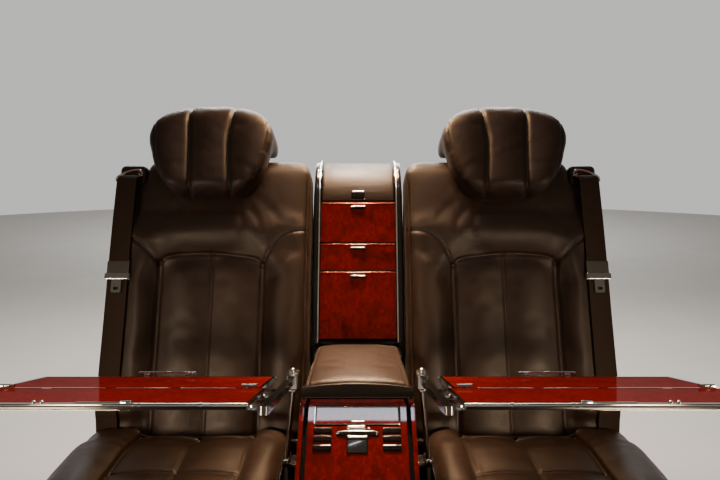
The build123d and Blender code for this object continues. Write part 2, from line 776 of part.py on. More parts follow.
# Stack, in its own frame
def pin_bores(y, z):
    return rod_x(side_inner - over, side_inner + front_pin_end + over, y, z, front_pin_r + pin_fit)


def pins(y, z):
    return rod_x(-side_inner - front_pin_end, side_inner + front_pin_end, y, z, front_pin_r)


def stack():
    depth0 = lid_face + front_thickness
    roof = trim_top - trim_thickness
    side = prism_x([(depth0, stack_foot, 0), (depth0, roof - seat_fit, trim_inner_r),
                    (stack_depth, roof - seat_fit, 0), (stack_depth, stack_foot, 0)],
                   side_inner, side_inner + stack_panel)
    side -= pin_bores(stack_depth - lid_axis[0], lid_top - lid_axis[1])
    trim = prism_x([(trim_face, stack_foot, 0), (trim_face, trim_top, trim_bend_r),
                    (stack_depth, trim_top, 0), (stack_depth, roof, 0),
                    (depth0 - seat_fit, roof, trim_inner_r),
                    (depth0 - seat_fit, stack_foot, 0)], side_inner, side_inner + trim_width)
    for low, high in (door_z, flap_z):
        trim -= pin_bores(front_axis, low + front_axis)
    back = block(-side_inner, side_inner, stack_depth - panel_thickness, stack_depth, stack_foot,
                 lid_top - lid_axis[1] * 2)
    places = [(shelf_front + shelf_foot_step, stack_foot), (shelf_front, door_z[1] + shelf_gap),
              (shelf_front, drawer_z[1] + shoe_room), (shelf_front, flap_z[1] - shelf_thickness)]
    shelves = [stack_frame * block(-side_inner, side_inner, front, stack_depth - panel_thickness,
                                   low, low + shelf_thickness) for front, low in places]
    sides = [stack_frame * s for s in both_sides(side)]
    trims = [stack_frame * t for t in both_sides(trim)]
    return sides, trims, stack_frame * back, shelves


def pull_lip(high):
    """A half-oval lip to pull at, along the top edge of a front."""
    top, low = high - over, high - over - lip_height
    lip = prism_y([(-lip_half, top, 0), (-lip_foot_half, low, lip_r), (lip_foot_half, low, lip_r),
                   (lip_half, top, 0)], -lip_reach, over)
    return fillet(lip.faces().sort_by(Axis.Y)[0].edges(), lip_edge_r)


def hinged_front(low, high):
    """A wooden front on two pins near its lower edge."""
    front = block(-front_half, front_half, 0, front_thickness, low, high)
    front += pins(front_axis, low + front_axis) + pull_lip(high)
    return stack_frame * front


def drawer():
    low, high = drawer_z
    front = block(-front_half, front_half, 0, front_thickness, low, high) + pull_lip(high)
    bottom = door_z[1] + shelf_gap + shelf_thickness + seat_fit
    outer = side_inner - running
    rear = stack_depth - drawer_rear_gap
    tray = block(-outer, outer, front_thickness - over, rear, bottom, high - running)
    tray -= block(-outer + drawer_wall, outer - drawer_wall, front_thickness, rear - drawer_wall,
                  bottom + drawer_wall, high)
    return stack_frame * (front + tray)


def stack_lid():
    tail_depth, tail_height = lid_tail
    rear = stack_depth
    profile = [(lid_face, lid_z, over * 2), (lid_face, lid_top, lid_bend_r), (rear, lid_top, small_r),
               (rear, lid_top - tail_height, small_r), (rear - tail_depth, lid_top - tail_height, over * 2),
               (rear - tail_depth, lid_top - lid_thickness, 0),
               (lid_face + lid_thickness, lid_top - lid_thickness, lid_bend_r - lid_thickness),
               (lid_face + lid_thickness, lid_z, 0)]
    lid = prism_x(profile, -front_half, front_half) + pins(rear - lid_axis[0], lid_top - lid_axis[1])
    low, high = lid_z + latch_z[0], lid_z + latch_z[1]
    latch = prism_x([(lid_face, low, 0), (lid_face - latch_reach, low + over * 2, over * 2),
                     (lid_face - latch_reach, high - over * 2, over * 2), (lid_face, high, 0)],
                    -latch_half, latch_half)
    return stack_frame * lid, stack_frame * latch


# Armrest
def armrest():
    base = block(-front_half, front_half, arm_front, arm_rear, arm_base_bottom, arm_base_top)
    base = fillet(base.edges().filter_by(Axis.X).group_by(Axis.Y)[-1], arm_heel_r)
    lip = prism_y([(-arm_lip_half, arm_lip_bottom, arm_lip_corner_r),
                   (arm_lip_half, arm_lip_bottom, arm_lip_corner_r),
                   (arm_lip_half, arm_lip_top - arm_lip_crown, arm_lip_corner_r),
                   (0, arm_lip_top + arm_lip_crown / 2, arm_lip_crown_r),
                   (-arm_lip_half, arm_lip_top - arm_lip_crown, arm_lip_corner_r)],
                  arm_front - arm_lip_depth, arm_front)
    base += fillet(lip.faces().sort_by(Axis.Y)[0].edges(), arm_lip_r)
    base += block(-front_half, front_half, arm_front - over, arm_front + over, arm_lip_bottom, arm_base_top)
    for way in (-1, 1):
        ends = sorted((way * (front_half - running - over), way * (front_half + over)))
        base -= rod_x(*ends, arm_axis_y, arm_axis_z, arm_pin_r + pin_fit)
    low = arm_base_top + seat_fit
    side = prism_x([(arm_front + seat_fit, low, 0), (arm_front + seat_fit, arm_pad_front_top, arm_front_r),
                    (arm_rear, arm_pad_rear_top, arm_rear_r), (arm_rear, low, 0)],
                   -arm_front_half, arm_front_half)
    plan = prism_z([(-arm_front_half, arm_front, arm_front_r), (arm_front_half, arm_front, arm_front_r),
                    (arm_rear_half, arm_rear, arm_rear_r), (-arm_rear_half, arm_rear, arm_rear_r)],
                   low - over, arm_pad_front_top + over)
    fall = degrees(atan((arm_pad_front_top - arm_pad_rear_top) / (arm_rear - arm_front)))
    edge = -arm_crown
    crown = prism_y([(-arm_front_half, -arm_pad_front_top, 0), (arm_front_half, -arm_pad_front_top, 0),
                     (arm_front_half, edge, arm_edge_r), (0, arm_crown, arm_crown_r),
                     (-arm_front_half, edge, arm_edge_r)], -arm_rear, arm_rear * 2)
    return base, side & plan & (Pos(0, arm_front, arm_pad_front_top) * Rot(-fall, 0, 0) * crown)


# Tables, left one, in the table's own frame
def table_leaf(x0, y0, y1):
    """A veneered board and the chrome frame round it."""
    inner = (x0 + rail_strip, table_outer - rail_strip, y0 + rail_strip, y1 - rail_strip)
    board = block(*inner, -table_thickness + board_step, 0)
    ring = block(x0, table_outer, y0, y1, -table_thickness, 0)
    ring -= block(*inner, -table_thickness - over, over)
    return board, ring


def fold_hinges():
    """Barrels at both ends of the middle line: two on the front leaf, one on the rear."""
    front, rear = [], []
    bore = barrel_r / 2 + pin_fit
    for x in (table_rear_inner + barrel_inset[0], table_outer - barrel_inset[1]):
        end = x + barrel_length * 3
        for x0, x1 in ((x, x + barrel_length - barrel_play), (end - barrel_length + barrel_play, end)):
            front.append(rod_x(x0, x1, 0, fold_axis_z, barrel_r)
                         + block(x0, x1, -rail_strip, -fold_gap, -fold_root, fold_axis_z))
        front.append(rod_x(x, end, 0, fold_axis_z, barrel_r / 2))
        x0, x1 = x + barrel_length, x + barrel_length * 2
        barrel = rod_x(x0, x1, 0, fold_axis_z, barrel_r)
        foot = block(x0, x1, fold_gap, rail_strip, -fold_root, fold_axis_z)
        rear.append(barrel + foot - rod_x(x0 - over, x1 + over, 0, fold_axis_z, bore))
    return front, rear


def swing_hinges():
    """Cheeks and pins on the arm, and the knuckles of the front leaf between them."""
    axis_z = -table_thickness / 2
    arm, leaf = [], []
    for start in (table_front_edge + s for s in cheek_starts):
        first = start + cheek_thickness + knuckle_play
        last = first + knuckle_length
        far = last + knuckle_play
        for y in (start, far):
            arm.append(block(table_arm_outer - over * 2, table_axis_x + cheek_reach, y, y + cheek_thickness,
                             axis_z + cheek_z[0], axis_z + cheek_z[1]))
        arm.append(rod_y(start, far + cheek_thickness, table_axis_x, axis_z, swing_pin_r))
        knuckle = rod_y(first, last, table_axis_x, axis_z, swing_pin_r + knuckle_wall)
        knuckle += block(table_axis_x, table_inner + over * 2, first, last,
                         axis_z - knuckle_web, axis_z + knuckle_web)
        leaf.append(knuckle - rod_y(first - over, last + over, table_axis_x, axis_z, swing_pin_r + pin_fit))
    return arm, leaf


def table():
    front_board, front_ring = table_leaf(table_inner, table_front_edge, -fold_gap)
    rear_board, rear_ring = table_leaf(table_rear_inner, fold_gap, table_rear_edge)
    front_fold, rear_fold = fold_hinges()
    arm_parts, leaf_parts = swing_hinges()
    for piece in front_fold + leaf_parts:
        front_ring += piece
    for piece in rear_fold:
        rear_ring += piece
    stop_rear = table_rear_edge + stop_overhang
    for x in (stop_x - stop_foot_x, stop_x + stop_foot_x):
        rear_ring += block(x - stop_foot_half, x + stop_foot_half, table_rear_edge - over, stop_rear,
                           -table_thickness + over * 2, stop_rise - stop_bar / 2)
    rear_ring += block(stop_x - stop_half, stop_x + stop_half, stop_rear - stop_bar, stop_rear,
                       stop_rise - stop_bar, stop_rise)
    cap_face = post_y - cap_depth / 2
    reach = (cap_face - table_y) / cos(radians(table_tilt)) + table_arm_depth
    arm = prism_z([(table_arm_inner, table_front_edge, small_r), (table_arm_outer, table_front_edge, small_r),
                   (table_arm_outer, reach, 0), (table_arm_inner, reach, 0)],
                  table_arm_top - table_arm_depth, table_arm_top)
    for piece in arm_parts:
        arm += piece
    arm = table_frame * arm - block(0, table_axis_x * 2, cap_face, cap_face + cap_depth,
                                    cap_bottom - cap_height * 2, cap_bottom + cap_height * 4)
    return [table_frame * p for p in (front_board, front_ring, rear_board, rear_ring)] + [arm]


def table_support():
    """The pocket beside the console and the post that stands on its rim."""
    pocket = block(pocket_inner, pocket_outer, pocket_front, pocket_rear, pocket_bottom, pocket_top)
    pocket -= block(pocket_inner + pocket_wall, pocket_outer - pocket_wall, pocket_front + pocket_wall,
                    pocket_rear - pocket_wall, pocket_bottom + pocket_wall, pocket_top + over)
    for y in (pocket_front + bracket_ends[0], pocket_rear - bracket_ends[1]):
        pocket += block(side_inner + side_thickness, pocket_inner, y, y + bracket_width,
                        pocket_bottom + bracket_z[0], pocket_bottom + bracket_z[1])
    post = block(pocket_inner, pocket_outer, post_y - post_foot_half, post_y + post_foot_half,
                 pocket_top, pocket_top + post_foot_thickness)
    height = cap_bottom - pocket_top
    tilt = degrees(atan((post_foot_x - post_top_x) / height))
    for y in (post_y - post_spacing / 2, post_y + post_spacing / 2):
        middle = Pos((post_foot_x + post_top_x) / 2, y, pocket_top + height / 2)
        post += middle * Rot(0, -tilt, 0) * Cylinder(post_bar_r, height + post_overlap)
    cap = block(post_top_x - cap_width / 2, post_top_x + cap_width / 2, post_y - cap_depth / 2,
                post_y + cap_depth / 2, cap_bottom, cap_bottom + cap_height)
    post += fillet(cap.edges().filter_by(Axis.Z), small_r)
    post += Pos(post_top_x, post_y, cap_bottom + cap_height + ball_lift) * Sphere(ball_r)
    return pocket, post


def main():
    os.makedirs("parts", exist_ok=True)
    write("floor_beams", floor_beams())
    rails, uprights = rails_and_uprights()
    write("seat_rails", rails)
    write("seat_uprights", uprights)
    write("pivot_ears", pivot_ears())
    leg_pad, leg_plate = leg_rest()
    head_pad, head_posts = headrest()
    webbing, guide, tongue = belt()
    front_board, front_ring, rear_board, rear_ring, arm = table()
    seat = {"cushion": [cushion()], "cushion_pan": [cushion_pan()], "leg_rest_pad": [leg_pad],
            "leg_rest_plate": [leg_plate], "backrest_pad": [back_frame * backrest_pad()],
            "backrest_shell": [back_frame * backrest_shell()], "headrest": [back_frame * head_pad],
            "headrest_posts": [back_frame * p for p in head_posts], "belt_webbing": [back_frame * webbing],
            "belt_fittings": [back_frame * guide, back_frame * tongue],
            "table_front": [front_board], "table_front_rail": [front_ring],
            "table_rear": [rear_board], "table_rear_rail": [rear_ring]}
    for name, shapes in seat.items():
        write(f"left_{name}", shapes)
        write(f"right_{name}", [mirror(s, about=Plane.YZ) for s in shapes])
    write("table_arms", both_sides(arm))
    pocket, post = table_support()
    write("table_pockets", both_sides(pocket))
    write("table_posts", both_sides(post))
    sides, panels, box = console()
    write("console_sides", sides)
    write("console_panels", panels)
    write("armrest_bin", box)
    write("fascia_wings", wings())
    panel, backing, flap, controls, grip = fascia()
    write("fascia_panel", panel)
    write("fascia_backing", backing)
    write("fascia_flap", flap)
    write("fascia_controls", controls)
    write("fascia_grip", grip)
    stack_sides, trim, stack_back, shelves = stack()
    write("stack_sides", stack_sides)
    write("stack_trim", trim)
    write("stack_back", stack_back)
    write("stack_shelves", shelves)
    write("upper_flap", hinged_front(*flap_z))
    write("drawer", drawer())
    write("lower_door", hinged_front(*door_z))
    lid, latch = stack_lid()
    write("stack_lid", lid)
    write("stack_latch", latch)
    base, pad = armrest()
    write("armrest_base", base)
    write("armrest_pad", pad)


main()
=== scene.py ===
import json
from math import cos, pi, radians, sin

import bmesh
import bpy
import numpy as np
from mathutils import Matrix, Vector
from mathutils.bvhtree import BVHTree

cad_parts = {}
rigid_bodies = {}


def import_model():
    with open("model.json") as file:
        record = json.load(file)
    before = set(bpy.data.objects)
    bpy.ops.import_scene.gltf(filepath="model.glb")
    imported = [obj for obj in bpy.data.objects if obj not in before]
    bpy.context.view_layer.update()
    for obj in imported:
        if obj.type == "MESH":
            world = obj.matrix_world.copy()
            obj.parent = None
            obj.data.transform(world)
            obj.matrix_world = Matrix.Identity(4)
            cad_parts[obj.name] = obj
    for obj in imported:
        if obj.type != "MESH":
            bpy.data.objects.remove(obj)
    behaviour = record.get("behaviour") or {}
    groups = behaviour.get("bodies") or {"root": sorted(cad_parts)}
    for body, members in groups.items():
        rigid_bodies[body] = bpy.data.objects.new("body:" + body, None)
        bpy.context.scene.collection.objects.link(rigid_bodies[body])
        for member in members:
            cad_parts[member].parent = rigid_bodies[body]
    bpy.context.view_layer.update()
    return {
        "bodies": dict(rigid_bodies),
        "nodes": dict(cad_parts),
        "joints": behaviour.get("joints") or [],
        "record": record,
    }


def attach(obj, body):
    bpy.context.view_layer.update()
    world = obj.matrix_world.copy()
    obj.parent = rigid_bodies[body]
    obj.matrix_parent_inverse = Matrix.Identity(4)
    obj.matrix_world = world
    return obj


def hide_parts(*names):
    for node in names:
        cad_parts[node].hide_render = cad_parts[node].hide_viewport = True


for old in list(bpy.data.objects):
    bpy.data.objects.remove(old, do_unlink=True)
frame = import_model()
nodes = frame["nodes"]
MM = 0.001
SIDES = (("left", False), ("right", True))      # name, and whether it is the mirror image
SEAT_X = 0.352                                  # middle of a seat
LEG_REST_X = 0.376
SHARP_EDGE = 35                                 # degrees
CLOTH_FRAMES = 20


# Frames of the leaning and sloping groups, as in the CAD, in metres
def group_frame(x, y, z, degrees):
    return Matrix.Translation((x, y, z)) @ Matrix.Rotation(radians(degrees), 4, "X")


UNIT = Matrix.Identity(4)
BACK = group_frame(SEAT_X, 0.130, 0.380, -22.0)
STACK = group_frame(0, 0.240, 0.554, -22.0)
FASCIA = group_frame(0, -0.032, 0.520, 37.6)
TABLE = group_frame(0, -0.196, 0.622, -15.8)


# Camera, light and floor
CAMERA_LENS = 29.05             # mm, for a sensor 36 mm wide
CAMERA_PLACE = (0.005, -1.085, 1.010)
CAMERA_DOWN = 9.3               # degrees below level
FLOOR_RADIUS = 9
FLOOR_SIDES = 96
FLOOR_DROP = 0.0005             # keeps the floor clear of the faces that stand on it
LAMP_PLACE = (0.0, 0.42, 1.42)
# name, place, target, size in metres, power in watts, spread in degrees, tint
LIGHTS = (
    ("key", (0.0, 0.80, 2.3), (0, 0.0, 0.6), (0.9, 0.5), 3, 180, (1.0, 0.74, 0.50)),
    ("glow", (0.0, 0.75, 1.90), (0, 0.42, 1.03), (0.12, 0.08), 0.75, 22, (1.0, 0.84, 0.66)),
    ("lamp", LAMP_PLACE, (0, 0.0, 0.5), (0.26, 0.10), 13, 180, (1.0, 0.60, 0.30)),
    ("beam", LAMP_PLACE, (0, 0.06, 0.56), (0.12, 0.08), 1.6, 36, (1.0, 0.58, 0.30)),
    ("panel", (0.0, -0.424, 2.4), (0, -0.424, 0.0), (0.56, 0.064), 2.6, 180, (0.84, 0.88, 1.0)),
    ("back", (0.0, 2.1, 2.3), (0, 0.3, 0.8), (2.6, 0.9), 95, 180, (1.0, 0.95, 0.88)),
    ("floor", (0.0, 3.6, 3.6), (0, 6.6, 0.0), (4.0, 1.6), 95, 110, (1.0, 0.98, 0.95)),
    ("left", (1.5, -2.2, 0.85), (0.33, 0.12, 0.52), (0.8, 0.5), 1.8, 26, (1.0, 0.72, 0.48)),
    ("right", (-1.5, -2.2, 0.85), (-0.33, 0.12, 0.52), (0.8, 0.5), 1.8, 26, (1.0, 0.72, 0.48)))


def make_camera():
    camera = bpy.data.cameras.new("camera")
    camera.lens = CAMERA_LENS
    camera.sensor_width = 36.0
    camera.clip_start = 0.02
    seen = bpy.data.objects.new("camera", camera)
    seen.location = CAMERA_PLACE
    seen.rotation_euler = (radians(90 - CAMERA_DOWN), 0, 0)
    bpy.context.scene.collection.objects.link(seen)
    bpy.context.scene.camera = seen


def make_world():
    """Dark in front of the unit, pale behind it, and plain to the camera."""
    world = bpy.data.worlds.new("world")
    bpy.context.scene.world = world
    world.use_nodes = True
    sky = world.node_tree.nodes["Background"]
    make, join = world.node_tree.nodes.new, world.node_tree.links.new
    way = make("ShaderNodeTexCoord")
    parts = make("ShaderNodeSeparateXYZ")
    fade = make("ShaderNodeMapRange")
    fade.interpolation_type = "SMOOTHSTEP"
    for key, value in {"From Min": 0.0, "From Max": 0.8, "To Min": 0.0, "To Max": 1.0}.items():
        fade.inputs[key].default_value = value
    shade = make("ShaderNodeValToRGB")
    shade.color_ramp.elements[0].color = (0.120, 0.102, 0.082, 1)
    shade.color_ramp.elements[1].color = (0.74, 0.73, 0.71, 1)
    join(way.outputs["Generated"], parts.inputs[0])
    join(parts.outputs[1], fade.inputs["Value"])
    join(fade.outputs["Result"], shade.inputs["Fac"])
    plain = make("ShaderNodeMix")
    plain.data_type = "RGBA"
    plain.inputs[7].default_value = (0.66, 0.65, 0.64, 1)
    join(make("ShaderNodeLightPath").outputs["Is Camera Ray"], plain.inputs[0])
    join(shade.outputs["Color"], plain.inputs[6])
    join(plain.outputs[2], sky.inputs["Color"])
    sky.inputs["Strength"].default_value = 1.0


def make_lights():
    for name, place, target, size, power, spread, tint in LIGHTS:
        lamp = bpy.data.lights.new(name, "AREA")
        lamp.shape = "RECTANGLE"
        lamp.size, lamp.size_y = size
        lamp.energy = power
        lamp.color = tint
        lamp.spread = radians(spread)
        lit = bpy.data.objects.new(name, lamp)
        lit.location = place
        lit.visible_camera = False
        lit.rotation_euler = (Vector(target) - Vector(place)).to_track_quat("-Z", "Y").to_euler()
        bpy.context.scene.collection.objects.link(lit)


def make_floor():
    floor = bpy.data.meshes.new("floor")
    turns = [2 * pi * i / FLOOR_SIDES for i in range(FLOOR_SIDES)]
    floor.from_pydata([(FLOOR_RADIUS * cos(a), FLOOR_RADIUS * sin(a), 0) for a in turns], [],
                      [range(FLOOR_SIDES)])
    ground = bpy.data.objects.new("floor", floor)
    ground.location.z = -FLOOR_DROP
    bpy.context.scene.collection.objects.link(ground)
    floor.materials.append(make_floor_material())


# Materials
class Tree:
    """Short ways to make and join shader nodes."""

    def __init__(self, name, **values):
        self.material = bpy.data.materials.new(name)
        self.material.use_nodes = True
        self.nodes = self.material.node_tree.nodes
        self.links = self.material.node_tree.links
        self.shader = self.nodes["Principled BSDF"]
        for key, value in values.items():
            self.shader.inputs[key.replace("_", " ")].default_value = value
        self.place = self.node("ShaderNodeTexCoord").outputs["Object"]

    def node(self, kind, inputs=(), **facts):
        made = self.nodes.new(kind)
        for key, value in facts.items():
            setattr(made, key, value)
        for key, value in dict(inputs).items():
            if isinstance(value, bpy.types.NodeSocket):
                self.links.new(value, made.inputs[key])
            else:
                made.inputs[key].default_value = value
        return made

    def noise(self, scale, detail=4.0, rough=0.55, warp=0.0, place=None):
        inputs = {"Vector": place or self.place, "Scale": scale, "Detail": detail, "Roughness": rough,
                  "Distortion": warp}
        return self.node("ShaderNodeTexNoise", inputs).outputs["Fac"]

    def cells(self, scale, feature="F1", place=None):
        return self.node("ShaderNodeTexVoronoi", {"Vector": place or self.place, "Scale": scale},
                         feature=feature).outputs["Distance"]

    def ramp(self, value, *stops):
        made = self.node("ShaderNodeValToRGB", {"Fac": value})
        ends = made.color_ramp.elements
        while len(ends) < len(stops):
            ends.new(0.5)
        for end, (at, colour) in zip(ends, stops):
            end.position = at
            end.color = colour if len(colour) == 4 else (*colour, 1)
        return made.outputs["Color"]

    def math(self, operation, a, b=0.0):
        return self.node("ShaderNodeMath", {0: a, 1: b}, operation=operation).outputs[0]

    def remap(self, value, low, high, out_low, out_high):
        return self.node("ShaderNodeMapRange", {"Value": value, "From Min": low, "From Max": high,
                                                "To Min": out_low, "To Max": out_high}).outputs["Result"]

    def mix(self, factor, a, b, kind="MIX"):
        made = self.node("ShaderNodeMix", {0: factor, 6: a, 7: b}, data_type="RGBA", blend_type=kind)
        return made.outputs[2]

    def stretch(self, x, y, z, place=None):
        return self.node("ShaderNodeMapping", {"Vector": place or self.place, "Scale": (x, y, z)}).outputs[0]

    def bump(self, height, strength, distance, under=None):
        inputs = {"Height": height, "Strength": strength, "Distance": distance}
        if under is not None:
            inputs["Normal"] = under
        return self.node("ShaderNodeBump", inputs).outputs["Normal"]

    def out(self, **sockets):
        for key, value in sockets.items():
            self.links.new(value, self.shader.inputs[key.replace("_", " ")])
        return self.material


def make_floor_material():
    t = Tree("studio_floor", Roughness=0.75)
    return t.out(Base_Color=t.ramp(t.noise(3.0), (0.3, (0.72, 0.71, 0.69)), (0.7, (0.76, 0.75, 0.73))))


def make_leather(name, dark, light, crease=1.0):
    t = Tree(name, Coat_Weight=0.04, Coat_Roughness=0.42, Specular_IOR_Level=0.30, Sheen_Weight=0.02,
             Sheen_Roughness=0.5, Sheen_Tint=(1.0, 0.80, 0.60, 1.0))
    broad = t.noise(7.0, 3.0)
    fine = t.noise(60.0, 5.0)
    pores = t.cells(620.0, "DISTANCE_TO_EDGE")
    tone = t.mix(t.remap(broad, 0.3, 0.7, 0.0, 1.0), (*dark, 1), (*light, 1))
    grain = t.ramp(pores, (0.0, (0.62, 0.62, 0.62)), (0.12, (1, 1, 1)))
    colour = t.mix(0.6, tone, grain, "MULTIPLY")
    colour = t.mix(t.remap(fine, 0.35, 0.75, 0.0, 0.25), colour, (*[c * 1.5 for c in light], 1))
    pull = t.noise(26.0, 3.0, 0.5, 1.6)
    ridge = t.math("ABSOLUTE", t.math("SUBTRACT", pull, 0.5))
    folds = t.bump(t.ramp(ridge, (0.0, (0, 0, 0)), (0.08, (1, 1, 1))), 0.07 * crease, 0.0012)
    skin = t.bump(t.ramp(pores, (0.0, (0, 0, 0)), (0.3, (1, 1, 1))), 0.35, 0.00022, folds)
    rough = t.math("ADD", t.remap(fine, 0.3, 0.7, 0.40, 0.52), t.remap(broad, 0.3, 0.7, -0.03, 0.04))
    return t.out(Base_Color=colour, Roughness=rough, Normal=skin)


def make_burr(name, gloss, figure, tone, book=None):
    """Burr veneer under clear lacquer. figure is how strongly its figure shows, tone a brightness factor
    that paints light and shade on the veneer, and book the X at which the leaves are mirrored."""
    t = Tree(name, Coat_Weight=gloss, Coat_Roughness=0.03, Coat_IOR=1.45, Roughness=0.5,
             Specular_IOR_Level=0.0)
    place = t.place
    if book is not None:
        parts = t.node("ShaderNodeSeparateXYZ", {0: place})
        across = t.math("ABSOLUTE", t.math("SUBTRACT", t.math("ABSOLUTE", parts.outputs[0]), book))
        across = t.math("PINGPONG", across, 0.11)
        folded = {0: across, 1: parts.outputs[1], 2: parts.outputs[2]}
        place = t.node("ShaderNodeCombineXYZ", folded).outputs[0]
    swirl = t.noise(9.0, 6.0, 0.6, 2.4, place)
    mid = t.noise(34.0, 8.0, 0.65, 1.2, place)
    line = t.node("ShaderNodeTexWave", {"Vector": place, "Scale": 16.0, "Distortion": 14.0, "Detail": 5.0,
                                        "Detail Scale": 2.2, "Detail Roughness": 0.65}).outputs["Fac"]
    eyes = t.cells(55.0, "SMOOTH_F1", place)
    base = t.ramp(swirl, (0.32, (0.026, 0.0014, 0.0010)), (0.45, (0.075, 0.0030, 0.0018)),
                  (0.56, (0.135, 0.0054, 0.0028)), (0.70, (0.045, 0.0022, 0.0013)))
    base = t.mix(t.remap(line, 0.1, 0.9, 0.0, 0.60), base, (0.032, 0.0017, 0.0012, 1))
    base = t.mix(t.remap(mid, 0.42, 0.70, 0.0, 0.55), base, (0.150, 0.0070, 0.0034, 1))
    base = t.mix(t.remap(eyes, 0.0, 0.22, 0.62, 0.0), base, (0.016, 0.0018, 0.0012, 1))
    base = t.mix(1 - figure, base, (0.080, 0.0036, 0.0020, 1))
    # painted light and shade: tone scales the whole veneer's brightness, below 1 it paints shade, above 1 it
    # paints light
    base = t.mix(1.0, base, (tone, tone, tone, 1), "MULTIPLY")
    level = t.bump(t.noise(3.5, 2.0), 0.05, 0.004)
    return t.out(Base_Color=base, Coat_Normal=level)


def make_metal(name, tint, rough, brushed=0.0):
    t = Tree(name, Metallic=1.0)
    smear = t.noise(45.0, 4.0)
    colour = t.mix(t.remap(smear, 0.3, 0.7, 0.0, 0.35), (*tint, 1), (*[c * 0.86 for c in tint], 1))
    haze = t.remap(smear, 0.3, 0.75, rough, rough + 0.05)
    place = t.stretch(30, 900, 900) if brushed else None
    normal = t.bump(t.noise(1.0 if brushed else 14.0, 2.0, place=place), 0.04 + brushed, 0.0004)
    return t.out(Base_Color=colour, Roughness=haze, Normal=normal)


def make_plastic(name, tint, rough, grain=0.3, shine=0.5):
    t = Tree(name, Specular_IOR_Level=shine)
    spots = t.noise(900.0, 2.0)
    broad = t.noise(16.0, 3.0)
    colour = t.mix(t.remap(broad, 0.3, 0.7, 0.0, 1.0), (*tint, 1), (*[c * 1.35 for c in tint], 1))
    return t.out(Base_Color=colour, Roughness=t.remap(broad, 0.3, 0.7, rough, rough + 0.08),
                 Normal=t.bump(spots, grain, 0.0002))


def make_webbing():
    t = Tree("webbing", Roughness=0.7, Specular_IOR_Level=0.15)
    rows = t.node("ShaderNodeTexWave", {"Vector": t.place, "Scale": 260.0, "Distortion": 0.6},
                  bands_direction="Z").outputs["Fac"]
    ribs = t.node("ShaderNodeTexWave", {"Vector": t.place, "Scale": 130.0, "Distortion": 0.2},
                  bands_direction="X").outputs["Fac"]
    weave = t.math("MULTIPLY", rows, ribs)
    tone = t.ramp(weave, (0.0, (0.013, 0.0075, 0.0045)), (1.0, (0.048, 0.028, 0.017)))
    tone = t.mix(t.remap(t.noise(9.0), 0.3, 0.7, 0.0, 0.4), tone, (0.022, 0.013, 0.008, 1))
    return t.out(Base_Color=tone, Normal=t.bump(weave, 0.5, 0.0004))


def make_thread():
    t = Tree("thread", Roughness=0.6)
    twist = t.node("ShaderNodeTexWave", {"Vector": t.place, "Scale": 900.0}, bands_direction="DIAGONAL")
    tone = t.ramp(twist.outputs["Fac"], (0.0, (0.010, 0.0055, 0.0032)), (1.0, (0.030, 0.017, 0.010)))
    return t.out(Base_Color=tone)


def make_glass():
    t = Tree("display_glass", Coat_Weight=1.0, Coat_Roughness=0.03, Roughness=0.2)
    return t.out(Base_Color=t.ramp(t.noise(40.0), (0.3, (0.008, 0.009, 0.010)), (0.7, (0.016, 0.018, 0.018))))


LEATHER = make_leather("leather", (0.0100, 0.0044, 0.0020), (0.0180, 0.0080, 0.0037))
# one veneer in two brightnesses: painted shade on the stack and fascia (tone 0.78), painted light on the
# tables (tone 1.35)
BURR = make_burr("burr_wood", 0.8, 0.8, 0.78)
BURR_TABLE = make_burr("burr_table", 0.14, 0.4, 1.35, 0.364)
CHROME = make_metal("chrome", (0.62, 0.61, 0.59), 0.06)
STEEL = make_metal("rail_steel", (0.46, 0.46, 0.45), 0.30, 0.25)
PAINT = make_plastic("frame_steel", (0.020, 0.021, 0.022), 0.42, 0.15)
BLACK = make_plastic("black_plastic", (0.012, 0.012, 0.012), 0.50)
GLOSS = make_plastic("black_gloss", (0.006, 0.006, 0.0065), 0.12, 0.02)
SATIN = make_plastic("key_black", (0.0022, 0.0019, 0.0018), 0.38, 0.05, 0.08)
POLISH = make_metal("polished_line", (0.90, 0.88, 0.85), 0.22)
# red metal for the fronts' lacquered top edges: a real edge with a painted highlight along it
VARNISH_HIGHLIGHT = make_metal("varnished_edge_highlight", (0.55, 0.15, 0.11), 0.24)
# chrome darkened for the table arms: the dark tint is a painted reflection of the dark interior
DARKENED_CHROME = make_metal("chrome_darkened_reflection", (0.30, 0.29, 0.28), 0.12)
LIP = make_plastic("lip_black", (0.0042, 0.0030, 0.0020), 0.36, 0.10, 0.18)
WEBBING = make_webbing()
THREAD = make_thread()
GLASS = make_glass()

NODE_MATERIALS = {
    "floor_beams": PAINT, "seat_rails": STEEL, "seat_uprights": PAINT, "pivot_ears": PAINT,
    "table_arms": DARKENED_CHROME, "table_pockets": BLACK, "table_posts": CHROME, "console_sides": SATIN,
    "console_panels": BLACK, "armrest_bin": BLACK, "fascia_wings": BURR, "fascia_panel": BURR,
    "fascia_backing": SATIN, "fascia_flap": BURR, "fascia_controls": GLOSS, "fascia_grip": CHROME,
    "stack_sides": GLOSS, "stack_trim": GLOSS, "stack_back": BLACK, "stack_shelves": BLACK,
    "upper_flap": BURR, "drawer": BURR, "lower_door": BURR, "stack_lid": LEATHER, "stack_latch": CHROME,
    "armrest_base": SATIN, "armrest_pad": LEATHER,
    "cushion": LEATHER, "cushion_pan": PAINT, "leg_rest_pad": LEATHER, "leg_rest_plate": PAINT,
    "backrest_pad": LEATHER, "backrest_shell": BLACK, "headrest": LEATHER, "headrest_posts": CHROME,
    "belt_webbing": WEBBING, "belt_fittings": BLACK, "table_front": BURR_TABLE,
    "table_front_rail": CHROME, "table_rear": BURR_TABLE, "table_rear_rail": CHROME}


